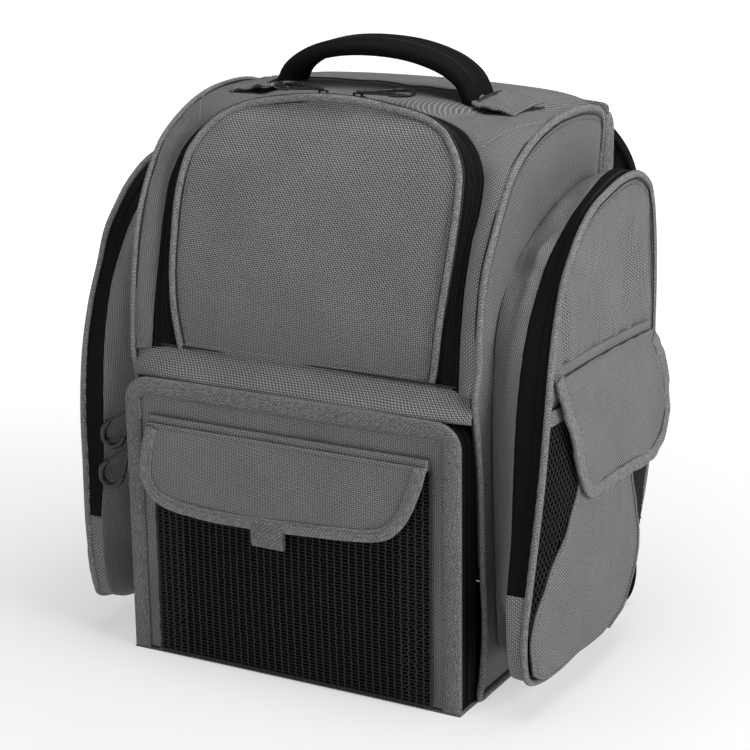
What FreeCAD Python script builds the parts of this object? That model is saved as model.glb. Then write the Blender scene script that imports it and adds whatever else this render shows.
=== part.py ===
import FreeCAD, Part
import math
import os
from FreeCAD import Vector

# Tackle backpack standing on its base. Millimetres, +Z up, the front faces -Y, +X to the
# viewer's right. The origin is on the floor, on the bag's centre plane, 120 mm behind the
# lower door.

os.makedirs("parts", exist_ok=True)
doc = FreeCAD.newDocument("tackle_backpack")

DIMENSIONS = [
    ("wall", 3.0, "padded fabric wall"),
    ("body_half", 160.0, "outer face of a side panel"),
    ("inside_half", 156.8, "half width between the side panels"),
    ("back_face", 140.0, "outer face of the back panel"),
    ("body_front", -86.0, "front edge of the base panel"),
    ("shelf_level", 250.0, "underside of the shelf between the compartments"),
    ("seam_band_low", 244.0, "bottom of the band between door and lid"),
    ("seam_band_high", 269.6, "top of the band between door and lid"),
    ("seam_band_front", -96.0, "front face of that band"),
    ("door_half", 155.0, "half width of the lower door"),
    ("door_low", 3.0, "bottom edge of the lower door"),
    ("door_top", 242.0, "top edge of the lower door"),
    ("door_face", -121.0, "front face of the door panel"),
    ("door_corner", 20.0, "radius of the door's top corners"),
    ("door_foam", 4.0, "thickness of the door panel"),
    ("binding_width", 15.0, "grosgrain binding round the door"),
    ("tape_wall", 2.2, "thickness of a zip tape wall"),
    ("tape_seam", -103.2, "where the two halves of the door's zip meet"),
    ("net_low", 5.0, "bottom of the net pocket"),
    ("net_high", 203.0, "top of the net pocket"),
    ("flap_top", 205.5, "top edge of the front flap"),
    ("flap_low", 134.0, "bottom edge of the front flap"),
    ("flap_back", -127.5, "back face of the front flap"),
    ("flap_cloth", 2.0, "thickness of a pocket flap"),
    ("flap_binding", 10.0, "binding round a pocket flap"),
    ("lid_low", 271.0, "bottom edge of the arched lid"),
    ("lid_foam", 4.0, "thickness of the arched lid"),
    ("pocket_inner", 160.3, "side pocket gusset at the side panel"),
    ("pocket_seam", 192.0, "gusset to zip tape"),
    ("pocket_zip", 200.0, "where the halves of a side pocket's zip meet"),
    ("pocket_face", 209.7, "outer face of a side pocket panel"),
    ("pocket_cloth", 2.5, "thickness of a side pocket panel"),
    ("bottle_face", 217.0, "outer face of a bottle pocket"),
    ("bottle_hem", 243.0, "top hem of a bottle pocket"),
    ("side_flap_top", 276.0, "top edge of a side flap"),
    ("side_flap_face", 219.6, "outer face of a side flap"),
    ("handle_grip_top", 515.0, "top of the carry handle"),
    ("handle_width", 34.0, "width of the handle from front to back"),
    ("handle_depth", 42.0, "how far back the handle stands"),
    ("strap_foam", 12.0, "thickness of a shoulder strap"),
    ("strap_pivot_y", 142.0, "top seam of the shoulder straps"),
    ("strap_pivot_z", 436.0, "height of that seam"),
    ("cord_radius", 1.3, "cord of a zip pull"),
    ("grip_radius", 2.6, "moulded end of a zip pull"),
    ("pull_loop", 10.0, "radius of a zip pull's end"),
    ("slider_bail", 4.2, "height of a pull's pivot over its slider's tape"),
    ("lid_slider_x", 16.0, "distance of a lid zip slider from the centre plane"),
    ("lid_slider_y", -31.0, "how far forward the lid's sliders stand"),
    ("lid_slider_z", 476.5, "height of the lid's zip tape under its sliders"),
]

sheet = doc.addObject("Spreadsheet::Sheet", "Dimensions")
for row, (alias, value, note) in enumerate(DIMENSIONS, start=1):
    sheet.set("A%d" % row, note)
    sheet.set("B%d" % row, str(value))
    sheet.setAlias("B%d" % row, alias)
doc.recompute()

SIDES = (("left", -1), ("right", 1))
SUBPARTS = []


def dim(alias):
    """A driving dimension, read back from the spreadsheet."""
    return float(sheet.get(alias))


def cell(alias):
    """The expression that names a driving dimension."""
    return "Dimensions." + alias


# ---------------------------------------------------------------- outlines

def curves(start, *steps):
    """Closed outline: each step is an end point, or (via, end) for an arc; it closes itself."""
    points = [start]
    result = []
    for step in steps:
        here = Vector(points[-1][0], points[-1][1], 0)
        if isinstance(step[0], tuple):
            via, end = step
            result.append(Part.Arc(here, Vector(via[0], via[1], 0), Vector(end[0], end[1], 0)))
        else:
            end = step
            result.append(Part.LineSegment(here, Vector(end[0], end[1], 0)))
        points.append(end)
    last = Vector(points[-1][0], points[-1][1], 0)
    first = Vector(start[0], start[1], 0)
    if last.distanceToPoint(first) > 1e-6:
        result.append(Part.LineSegment(last, first))
    return result


def corner(centre_u, centre_v, radius, from_deg, to_deg):
    """(via, end) of a rounded corner about a centre."""
    middle = math.radians((from_deg + to_deg) / 2)
    end = math.radians(to_deg)
    via = (centre_u + radius * math.cos(middle), centre_v + radius * math.sin(middle))
    return via, (centre_u + radius * math.cos(end), centre_v + radius * math.sin(end))


def rounded_panel(half, low, high, low_radius, high_radius):
    """Upright panel outline with rounded corners, symmetric about the centre plane."""
    return curves(
        (-half + low_radius, low),
        (half - low_radius, low),
        corner(half - low_radius, low + low_radius, low_radius, -90, 0),
        (half, high - high_radius),
        corner(half - high_radius, high - high_radius, high_radius, 0, 90),
        (-half + high_radius, high),
        corner(-half + high_radius, high - high_radius, high_radius, 90, 180),
        (-half, low + low_radius),
        corner(-half + low_radius, low + low_radius, low_radius, 180, 270),
    )


def arched_strip(half, low, high, radius, width):
    """Strip that runs up one side, over the top and down the other, open at the bottom."""
    inner = half - width
    inner_radius = max(radius - width, 1.0)
    inner_high = high - width
    return curves(
        (-half, low),
        (-inner, low),
        (-inner, inner_high - inner_radius),
        corner(-inner + inner_radius, inner_high - inner_radius, inner_radius, 180, 90),
        (inner - inner_radius, inner_high),
        corner(inner - inner_radius, inner_high - inner_radius, inner_radius, 90, 0),
        (inner, low),
        (half, low),
        (half, high - radius),
        corner(half - radius, high - radius, radius, 0, 90),
        (-half + radius, high),
        corner(-half + radius, high - radius, radius, 90, 180),
        (-half, low),
    )


def on_plane(plane, curve_list, at=0.0):
    """A wire of those curves on a plane: YZ at x, XZ at y."""
    flat = Part.Wire(Part.sortEdges([curve.toShape() for curve in curve_list])[0])
    if plane == "YZ_Plane":
        turn = FreeCAD.Rotation(Vector(0, 1, 0), Vector(0, 0, 1), Vector(1, 0, 0), "XYZ")
        offset = Vector(at, 0, 0)
    else:
        turn = FreeCAD.Rotation(Vector(1, 0, 0), Vector(0, 0, 1), Vector(0, -1, 0), "XYZ")
        offset = Vector(0, at, 0)
    flat.Placement = FreeCAD.Placement(offset, turn)
    return flat


def prism(plane, curve_list, start, end):
    """Solid between two positions along a plane's normal axis."""
    face = Part.Face(on_plane(plane, curve_list, start))
    travel = Vector(end - start, 0, 0) if plane == "YZ_Plane" else Vector(0, end - start, 0)
    return face.extrude(travel)


# ---------------------------------------------------------------- makers

def sewn_panel(name, plane, outlines, thickness, place):
    """Flat panel: sketched outlines padded to a thickness and put in place from the sheet."""
    body = doc.addObject("PartDesign::Body", name)
    body.Label = name
    sketch = body.newObject("Sketcher::SketchObject", name + "_outline")
    support = [item for item in body.Origin.OriginFeatures if item.Role == plane][0]
    sketch.AttachmentSupport = [(support, "")]
    sketch.MapMode = "FlatFace"
    for outline in outlines:
        for curve in outline:
            sketch.addGeometry(curve, False)
    pad = body.newObject("PartDesign::Pad", name + "_pad")
    pad.Profile = sketch
    pad.setExpression("Length", thickness)
    body.Tip = pad
    for axis, expression in place.items():
        body.setExpression("Placement.Base." + axis, expression)
    SUBPARTS.append(body)
    return body


def slab(name, sizes, place):
    """Rectangular panel whose sizes and corner come from the sheet."""
    box = doc.addObject("Part::Box", name)
    box.Label = name
    for side, expression in zip(("Length", "Width", "Height"), sizes):
        box.setExpression(side, expression)
    for axis, expression in zip("xyz", place):
        box.setExpression("Placement.Base." + axis, expression)
    SUBPARTS.append(box)
    return box


def shaped(name, shape):
    """Piece whose shape no single feature makes."""
    item = doc.addObject("Part::Feature", name)
    item.Label = name
    item.Shape = shape.removeSplitter()
    SUBPARTS.append(item)
    return item


def box_between(low, high):
    return Part.makeBox(high[0] - low[0], high[1] - low[1], high[2] - low[2], Vector(*low))


# ---------------------------------------------------------------- body shell

SIDE_PROFILE = curves(
    (-84, 0), (-88, 176), (-100, 243), ((-95, 303), (-78, 360)), ((-38, 406), (20, 440)),
    (59, 448), (122, 452), ((135, 447), (140, 434)), (140, 12), ((136.5, 3.5), (128, 0)),
)


def upper_section(at, points, grow):
    """Section of the upper compartment, grown about its middle by some cloth."""
    middle_y, middle_z, reach = 20, 350, 118
    scale = 1 + grow / reach

    def grown(point):
        return middle_y + (point[0] - middle_y) * scale, middle_z + (point[1] - middle_z) * scale

    grown_points = [grown(point) for point in points]
    start, shoulder_via, shoulder, brow_via, brow, rear, corner_via, back, foot = grown_points
    outline = curves(start, (shoulder_via, shoulder), (brow_via, brow), rear, (corner_via, back), foot)
    return on_plane("YZ_Plane", outline, at)


def upper_form(grow=0.0, overrun=0.0):
    """Closed form of the upper compartment: crowned across, from side panel to side panel."""
    half = dim("inside_half") + overrun
    low = dim("seam_band_high") + 0.4
    edge = [(-99, low), (-95, 303), (-78, 360), (-38, 406), (20, 440), (122, 452), (135, 447),
            (140, 434), (140, low)]
    middle = [(-95, low), (-92, 305), (-84, 370), (-66, 432), (-24, 468), (122, 464), (135, 459),
              (140, 446), (140, low)]
    sections = [upper_section(-half, edge, grow), upper_section(0, middle, grow),
                upper_section(half, edge, grow)]
    return Part.makeLoft(sections, True, False)


def arch_outline(share):
    """Arched outline of the lid; 0 is the panel's edge, 1 the outer edge of its zip band."""
    low = dim("lid_low")
    foot = 114 + 27 * share
    shoulder = 125 + 16.5 * share
    right = [
        (shoulder, 372),
        ((121.5 + 16 * share, 416 + 2 * share), (101 + 14 * share, 446 + 4 * share)),
        ((54 + 6 * share, 467 + 5 * share), (0, 471 + 5 * share)),
    ]
    left = [
        ((-54 - 6 * share, 467 + 5 * share), (-101 - 14 * share, 446 + 4 * share)),
        ((-121.5 - 16 * share, 416 + 2 * share), (-shoulder, 372)),
        (-foot, low),
    ]
    return curves((-foot, low), (foot, low), *right, *left)


def arch_band(inner_share, outer_share):
    """Upright band round the lid between two arched outlines, open at its foot."""
    reach = (-160, 0)
    outer = prism("XZ_Plane", arch_outline(outer_share), *reach)
    inner = prism("XZ_Plane", arch_outline(inner_share), *reach)
    notch = box_between((-114 - 27 * inner_share, -160, 200), (114 + 27 * inner_share, 0, 272))
    return outer.cut(inner).cut(notch)


def lid_slab(front, depth):
    """Slab that follows the lid's leaning face, from a distance behind it to another."""
    def lean(extra):
        return [(-91 + extra, 260), ((-87.5 + extra, 320), (-79 + extra, 368)),
                ((-61 + extra, 415), (-42 + extra, 485))]
    face = lean(front)
    rear = lean(front + depth)
    outline = curves(face[0], *face[1:], rear[2][1], (rear[2][0], rear[1][1]),
                     (rear[1][0], rear[0]))
    return prism("YZ_Plane", outline, -160, 160)


def body_shell():
    thickness = cell("wall")
    for side, sign in SIDES:
        face = "%s - %s" % (cell("body_half"), thickness) if sign > 0 else "-" + cell("body_half")
        sewn_panel("side_panel_" + side, "YZ_Plane", [SIDE_PROFILE], thickness, {"x": face})
    outer = upper_form()
    inner = upper_form(-dim("wall"), 1.0)
    half = dim("body_half")
    back_gap = box_between((-half, dim("back_face") - 3.2, 0), (half, 200, 600))
    low_gap = box_between((-half, -200, 0), (half, 200, 273))
    opening = prism("XZ_Plane", arch_outline(1.0), -200, -16)
    sill = box_between((-141, -200, 200), (141, -60, 280))
    shell = outer.cut(inner).cut(back_gap).cut(low_gap).cut(opening).cut(sill)
    shaped("front_top_shell", shell)
    shaped("arch_zip_tape_fixed", arch_band(0.6, 0.96).common(lid_slab(0.5, 24)))
    width = "2 * " + cell("inside_half")
    left = "-" + cell("inside_half")
    slab("front_seam_band", (width, thickness, "%s - %s" % (cell("seam_band_high"), cell("seam_band_low"))),
         (left, cell("seam_band_front"), cell("seam_band_low")))
    depth = "%s - %s - 3.2" % (cell("back_face"), cell("seam_band_front"))
    slab("divider_shelf", (width, depth + " - 3.2", thickness),
         (left, cell("seam_band_front") + " + 3.2", cell("shelf_level")))
    slab("base_panel", (width, "%s - %s - 3.2" % (cell("back_face"), cell("body_front")), thickness),
         (left, cell("body_front"), "0"))
    sewn_panel("back_panel", "XZ_Plane", [rounded_panel(dim("inside_half"), 0, 436, 6, 26)], thickness,
               {"y": cell("back_face"), "z": "0"})
    sewn_panel("back_pad", "XZ_Plane", [rounded_panel(128, 34, 404, 24, 30)], "10",
               {"y": "%s + 10.4" % cell("back_face")})
    for side, sign in SIDES:
        wire = on_plane("YZ_Plane", SIDE_PROFILE, 0)
        wide = Part.Face(wire.makeOffset2D(2.0))
        narrow = Part.Face(wire.makeOffset2D(-2.5))
        ring = wide.cut(narrow).extrude(Vector(4.4, 0, 0))
        ring = ring.common(box_between((-10, -200, 0), (10, 200, 600)))
        start = dim("body_half") + 0.2 if sign > 0 else -dim("body_half") - 4.6
        ring.translate(Vector(start, 0, 0))
        shaped("body_piping_" + side, ring)


# ---------------------------------------------------------------- lower door

def lower_door():
    half, low, high = dim("door_half"), dim("door_low"), dim("door_top")
    radius = dim("door_corner")
    sewn_panel("door_panel", "XZ_Plane", [rounded_panel(half - 1, low, high - 1, 6, radius - 1)],
               cell("door_foam"), {"y": "%s + %s" % (cell("door_face"), cell("door_foam"))})
    sewn_panel("door_binding", "XZ_Plane", [arched_strip(half, low, high, radius, dim("binding_width"))],
               "1.6", {"y": cell("door_face") + " - 0.2"})
    seam = cell("tape_seam")
    sewn_panel("door_zip_tape_moving", "XZ_Plane",
               [arched_strip(half, low, high, radius, dim("tape_wall"))],
               "%s - %s - %s - 0.6" % (seam, cell("door_face"), cell("door_foam")), {"y": seam + " - 0.2"})
    ring = [rounded_panel(half, low - 2.4, high, 6, radius),
            rounded_panel(half - dim("tape_wall"), low, high - dim("tape_wall"), 4, radius - 2)]
    sewn_panel("door_zip_tape_fixed", "XZ_Plane", ring, "-88.5 - %s - 0.2" % seam, {"y": "-88.5"})
    net = curves((-128, dim("net_low")), (131, dim("net_low")), (131, dim("net_high")),
                 (-128, dim("net_high")))
    sewn_panel("door_net_pocket", "XZ_Plane", [net], "1.2", {"y": cell("door_face") + " - 2.2"})
    slab("flap_welt", ("262", "5", "7"),
         ("-132", "%s - 5.2" % cell("door_face"), "%s + 0.6" % cell("flap_top")))


def flap_outline(inset):
    """Front flap: flares a little below its hinge and has well rounded lower corners."""
    top, low = dim("flap_top"), dim("flap_low") + inset
    left, right = -138 + inset, 136 - inset
    radius = 34 - inset
    return curves(
        (-132 + inset, top), (130 - inset, top), (right, 176), (right - 1, low + radius),
        corner(right - 1 - radius, low + radius, radius, 0, -90),
        (left + 1 + radius, low),
        corner(left + 1 + radius, low + radius, radius, 270, 180),
        (left, 176),
    )


def flap_border(width):
    """Binding round the flap's free edges, open along the hinge."""
    outer = prism("XZ_Plane", flap_outline(0), 0, -1.2)
    inner = prism("XZ_Plane", flap_outline(width), 1, -3)
    notch = box_between((-132 + width, -3, 190), (130 - width, 1, 230))
    return outer.cut(inner).cut(notch)


def front_flap():
    sewn_panel("flap_panel", "XZ_Plane", [flap_outline(0)], cell("flap_cloth"), {"y": cell("flap_back")})
    border = flap_border(dim("flap_binding"))
    border.translate(Vector(0, dim("flap_back") - dim("flap_cloth") - 0.2, 0))
    shaped("flap_binding", border)
    front = dim("flap_back") - dim("flap_cloth") - 1.6
    tab = box_between((-28, front - 2.6, dim("flap_low") - 15), (2, front, dim("flap_low") + 3))
    shaped("flap_tab", tab.makeFillet(1.0, tab.Edges))


# ---------------------------------------------------------------- arched lid

def arched_lid():
    panel = prism("XZ_Plane", arch_outline(0.0), -160, 0).common(lid_slab(0, dim("lid_foam")))
    shaped("lid_panel", panel)
    shaped("lid_piping", arch_band(0.01, 0.17).common(lid_slab(-2, 6.5)))
    shaped("lid_zip_tape", arch_band(0.19, 0.55).common(lid_slab(1.0, dim("tape_wall"))))


# ---------------------------------------------------------------- side pockets

def pocket_outline():
    """Side pocket seen from the side: leaning front edge, rounded top, narrowing foot."""
    return curves(
        (-92, 22), ((-101, 26), (-104, 36)), (-107, 110), (-94, 262), ((-72, 332), (-26, 382)),
        ((15, 402), (60, 408)), (95, 407), ((131, 388), (147, 345)), (141, 250), (116, 62),
        ((110, 38), (92, 29)), (0, 20),
    )


def pocket_root_outline():
    """Where the pocket's gusset is sewn to the side panel, inside the panel's own edge."""
    return curves(
        (-62, 20), ((-68, 23), (-71, 32)), (-74, 110), (-70, 262), ((-52, 320), (-12, 364)),
        ((24, 384), (62, 392)), (92, 392), ((118, 378), (128, 345)), (128, 250), (110, 62),
        ((104, 38), (90, 27)), (0, 19),
    )


def resized(curve_list, at, grow):
    """Outline on a plane across the bag, grown outward with sharp joins or shrunk inward."""
    wire = on_plane("YZ_Plane", curve_list, at)
    if grow == 0:
        return wire
    return wire.makeOffset2D(grow, 2) if grow > 0 else wire.makeOffset2D(grow)


def pocket_ring(start, end, outer_grow, inner_grow):
    """Wall that follows the pocket's edge over a stretch of its width."""
    outline = pocket_outline()
    outer = Part.Face(resized(outline, start, outer_grow))
    inner = Part.Face(resized(outline, start, inner_grow))
    return outer.cut(inner).extrude(Vector(end - start, 0, 0))


def mirrored(shape, sign):
    return shape if sign > 0 else shape.mirror(Vector(0, 0, 0), Vector(1, 0, 0))


def side_pocket(side, sign):
    wall = dim("wall")
    root, seam, zip_line = dim("pocket_inner"), dim("pocket_seam"), dim("pocket_zip")
    zip_end = 107
    outer = Part.makeLoft([on_plane("YZ_Plane", pocket_root_outline(), root),
                           on_plane("YZ_Plane", pocket_outline(), seam)], True, True)
    inner = Part.makeLoft([resized(pocket_root_outline(), root - 1, -wall),
                           resized(pocket_outline(), seam + 1, -wall)], True, True)
    gusset = outer.cut(inner)
    band = pocket_ring(seam, zip_line - 0.2, 0, -wall)
    below = box_between((150, -200, 0), (250, 250, zip_end))
    gusset = gusset.fuse(band.common(below))
    shaped("pocket_gusset_" + side, mirrored(gusset, sign))
    tape = pocket_ring(seam + 0.2, zip_line - 0.2, 0, -dim("tape_wall"))
    shaped("pocket_zip_tape_fixed_" + side, mirrored(tape.cut(below), sign))

    face = dim("pocket_face")
    cloth = dim("pocket_cloth")
    start = "%s - %s" % (cell("pocket_face"), cell("pocket_cloth"))
    sewn_panel("pocket_panel_" + side, "YZ_Plane", [pocket_outline()], cell("pocket_cloth"),
               {"x": start if sign > 0 else "-" + cell("pocket_face")})
    piping = pocket_ring(face - 4.4, face + 0.8, 4.0, 0.1)
    shaped("pocket_piping_" + side, mirrored(piping, sign))
    moving = pocket_ring(zip_line + 0.2, face - cloth - 0.2, 0, -dim("tape_wall"))
    shaped("pocket_zip_tape_moving_" + side, mirrored(moving, sign))

    hem = dim("bottle_hem")
    reach = dim("bottle_face")
    below_hem = box_between((150, -200, 0), (250, 250, hem))
    cup_edge = pocket_ring(face + 0.2, reach - 2.2, -3.0, -5.2).common(below_hem)
    cover = Part.Face(resized(pocket_outline(), reach - 2.0, -3.0)).extrude(Vector(2.0, 0, 0))
    cover = cover.common(below_hem)
    centre = prism("YZ_Plane", curves((-66, hem), (98, hem), (108, 60), (104, 10), (-100, 10), (-92, 60)),
                   150, 250)
    net = cup_edge.fuse(cover.cut(centre).fuse(
        pocket_ring(reach - 2.4, reach - 2.0, -3.0, -5.2).common(below_hem)))
    panel = cover.common(centre.makeOffsetShape(-0.2, 0.01))
    shaped("bottle_pocket_net_" + side, mirrored(net, sign))
    shaped("bottle_pocket_panel_" + side, mirrored(panel, sign))

    flap = side_flap_outline(0)
    sewn_panel("side_flap_panel_" + side, "YZ_Plane", [flap], cell("flap_cloth"),
               {"x": "%s - %s" % (cell("side_flap_face"), cell("flap_cloth")) if sign > 0
                else "-" + cell("side_flap_face")})
    border = prism("YZ_Plane", side_flap_outline(0), 0, 1.2).cut(
        prism("YZ_Plane", side_flap_outline(dim("flap_binding")), -1, 3))
    border = border.cut(box_between((-1, -72, 260), (3, 118, 300)))
    border.translate(Vector(dim("side_flap_face") + 0.2, 0, 0))
    shaped("side_flap_binding_" + side, mirrored(border, sign))


def side_flap_outline(inset):
    """Side flap: wide at its hinge, longer at the back, with a straight slanted hem."""
    top = dim("side_flap_top")
    return curves(
        (-82 + inset, top), (122 - inset, top), ((140 - inset, 246), (147 - inset, 206)),
        ((143 - inset, 176 + inset), (112 - inset, 160 + inset)), (-16, 167 + inset),
        ((-34 + inset, 176 + inset), (-50 + inset, 204 + inset / 2)),
    )


# ---------------------------------------------------------------- handle and straps

def carry_handle():
    width, top = dim("handle_width"), dim("handle_grip_top")
    outline = curves((-103, 470), ((0, top), (103, 470)), (85, 470), ((0, top - 16), (-85, 470)))
    shape = prism("XZ_Plane", outline, dim("handle_depth") - width / 2, dim("handle_depth") + width / 2)
    long_edges = [edge for edge in shape.Edges if abs(edge.BoundBox.YLength) < 0.01 and edge.Length > 40]
    shaped("carry_handle", shape.makeFillet(4.0, long_edges))
    for side, sign in SIDES:
        patch = upper_form(2.8).cut(upper_form(0.3, 1.0)).common(
            box_between((66, 18, 440), (128, 66, 480)))
        shaped("handle_anchor_" + side, mirrored(patch, sign))


def strap_slice(line, depth):
    """Strap seen from the side: a bowed line given a thickness towards the back."""
    rear = [(y + depth, z) for y, z in line]
    outline = curves(line[0], (line[1], line[2]), (line[3], line[4]), rear[4],
                     (rear[3], rear[2]), (rear[1], rear[0]))
    return prism("YZ_Plane", outline, 60, 200)


def shoulder_strap(side, sign):
    foam = dim("strap_foam")
    pivot_y, pivot_z = dim("strap_pivot_y"), dim("strap_pivot_z")
    line = [(pivot_y + 0.6, pivot_z), (pivot_y + 26, pivot_z - 30), (pivot_y + 36, pivot_z - 84),
            (pivot_y + 33, 230), (pivot_y + 18, 122)]
    plan = curves((72, pivot_z + 2), (132, pivot_z + 2), ((165, 372), (168, 250)), ((167, 180), (156, 118)),
                  (120, 118), ((112, 200), (106, 280)), ((98, 360), (72, pivot_z + 2)))
    pad = strap_slice(line, foam).common(prism("XZ_Plane", plan, 100, 260))
    shaped("strap_pad_" + side, mirrored(pad, sign))

    buckle = box_between((124, pivot_y + 20, 96), (152, pivot_y + 26, 117.6))
    for level in (100, 108):
        buckle = buckle.cut(box_between((127, pivot_y + 15, level), (149, pivot_y + 30, level + 5)))
    shaped("ladder_lock_" + side, mirrored(buckle, sign))

    web = [(pivot_y + 0.6, 10), (pivot_y + 22, 26), (pivot_y + 27, 52), (pivot_y + 28, 74),
           (pivot_y + 24, 95)]
    web_plan = curves((146, 8), (172, 10), ((181, 52), (150, 97)), (126, 97), ((156, 50), (146, 8)))
    webbing = strap_slice(web, 2.4).common(prism("XZ_Plane", web_plan, 100, 260))
    shaped("strap_webbing_" + side, mirrored(webbing, sign))


# ---------------------------------------------------------------- zip sliders and pulls

def frame_of(position, along, outward):
    """Placement whose x runs along the zip and whose z points out of the cloth."""
    turn = FreeCAD.Rotation(Vector(*along), Vector(0, 0, 0), Vector(*outward), "XZY")
    return FreeCAD.Placement(Vector(*position), turn)


def slider_shape():
    """Zip slider on the outside of its tape: a shield-shaped top and a low bail."""
    plate = Part.makeBox(12, 7.6, 2.0, Vector(-6, -3.8, 0.3))
    plate = plate.makeFillet(0.8, [edge for edge in plate.Edges if abs(edge.BoundBox.ZLength - 2) < 0.01])
    bail = Part.makeBox(7, 2.4, 2.4, Vector(-3.5, -1.2, 2.2))
    bail = bail.makeFillet(0.6, bail.Edges)
    return plate.fuse(bail)


def pull_shape():
    """Cord loop that widens to a moulded U-shaped end; it starts at its slider's bail."""
    radius = dim("pull_loop")
    centre = 36.0
    touch = math.acos(radius / centre)
    rim = Vector(centre - radius * math.cos(touch), radius * math.sin(touch), 0)
    start = Vector(4.5, 1.5, 0)
    cord = None
    for flip in (1, -1):
        near = Vector(start.x, start.y * flip, 0)
        far = Vector(rim.x, rim.y * flip, 0)
        run = Part.makeCylinder(dim("cord_radius"), near.distanceToPoint(far), near, far - near)
        cord = run if cord is None else cord.fuse(run)
    knot = Part.makeSphere(1.6, Vector(start.x + 1.5, 0, 0))
    arc = Part.Arc(rim, Vector(centre + radius, 0, 0), Vector(rim.x, -rim.y, 0)).toShape()
    profile = Part.Wire(Part.makeCircle(dim("grip_radius"), rim, Vector(rim.y, centre - rim.x, 0)))
    grip = Part.Wire([arc]).makePipeShell([profile], True, True)
    return cord.fuse(knot).fuse(grip)


def zip_end(name, position, along, outward, pull_dir=None, pull_out=None, shift=0.0):
    """A slider on its tape and, where given a direction, its cord pull."""
    slider = slider_shape()
    slider.Placement = frame_of(position, along, outward)
    shaped(name % "slider", slider)
    if pull_dir is not None:
        pull = pull_shape()
        start = Vector(*position) + Vector(*outward) * dim("slider_bail") + Vector(0, shift, 0)
        pull.Placement = frame_of(tuple(start), pull_dir, pull_out)
        shaped(name % "pull", pull)


def zip_ends():
    tape = -dim("door_half")
    lean = (math.cos(math.radians(232)), 0, math.sin(math.radians(232)))
    for place, height, shift in (("upper", 212.0, -1.4), ("lower", 178.0, -6.8)):
        zip_end("door_%s_" + place, (tape, dim("tape_seam"), height), (0, 0, 1), (-1, 0, 0), lean,
                (0, -1, 0), shift)
    for side, sign in SIDES:
        flat = (sign * math.cos(math.radians(12)), math.sin(math.radians(12)), 0)
        place = (sign * dim("lid_slider_x"), dim("lid_slider_y"), dim("lid_slider_z"))
        zip_end("arch_%s_" + side, place, (1, 0, 0), (0, 0, 1), flat, (0, 0, 1))
    tilt = math.atan2(141 - 116, 250 - 62)
    for side, sign in SIDES:
        up = (0, math.sin(tilt), math.cos(tilt))
        out = (0, math.cos(tilt), -math.sin(tilt))
        spot = (sign * dim("pocket_zip"), 116 + (124 - 62) * math.tan(tilt), 124)
        zip_end("pocket_%s_" + side, spot, up, out)


body_shell()
lower_door()
front_flap()
arched_lid()
for side_name, side_sign in SIDES:
    side_pocket(side_name, side_sign)
carry_handle()
for side_name, side_sign in SIDES:
    shoulder_strap(side_name, side_sign)
zip_ends()

doc.recompute()
for item in doc.Objects:
    if any(flag in item.State for flag in ("Invalid", "Error")):
        raise RuntimeError("%s did not compute: %s" % (item.Label, item.State))
for item in SUBPARTS:
    if item.Shape.isNull() or not item.Shape.isValid() or not item.Shape.Solids:
        raise RuntimeError("%s has no valid solid" % item.Label)
for item in SUBPARTS:
    item.Shape.exportStep("parts/%s.step" % item.Label)
print(len(SUBPARTS), "pieces")
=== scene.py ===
import math

import bmesh
import bpy
import numpy as np
from mathutils import Matrix, Vector, noise


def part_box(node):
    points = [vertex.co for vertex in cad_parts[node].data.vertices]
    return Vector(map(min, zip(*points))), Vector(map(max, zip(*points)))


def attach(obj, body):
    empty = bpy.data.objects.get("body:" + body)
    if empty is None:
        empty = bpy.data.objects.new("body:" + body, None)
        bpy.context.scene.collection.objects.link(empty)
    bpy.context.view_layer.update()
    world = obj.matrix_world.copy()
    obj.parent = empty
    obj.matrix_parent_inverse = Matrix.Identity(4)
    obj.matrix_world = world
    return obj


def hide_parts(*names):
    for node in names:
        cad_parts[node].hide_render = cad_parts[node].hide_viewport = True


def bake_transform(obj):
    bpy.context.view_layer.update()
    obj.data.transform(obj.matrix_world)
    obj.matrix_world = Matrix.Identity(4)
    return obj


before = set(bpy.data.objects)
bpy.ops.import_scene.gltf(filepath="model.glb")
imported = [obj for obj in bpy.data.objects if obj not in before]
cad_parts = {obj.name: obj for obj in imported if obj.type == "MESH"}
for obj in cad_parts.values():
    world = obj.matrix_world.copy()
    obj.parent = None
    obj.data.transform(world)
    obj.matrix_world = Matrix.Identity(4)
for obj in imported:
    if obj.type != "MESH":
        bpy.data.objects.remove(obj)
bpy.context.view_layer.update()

# Everything is written in millimetres in the frame of the CAD model and turned into metres
# when a mesh is made. +Z is up, the front of the bag faces -Y, +X is to the viewer's right.
MM = 0.001
SIDES = (("left", -1), ("right", 1))
STITCHES = {}


# ---------------------------------------------------------------- node helpers

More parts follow.
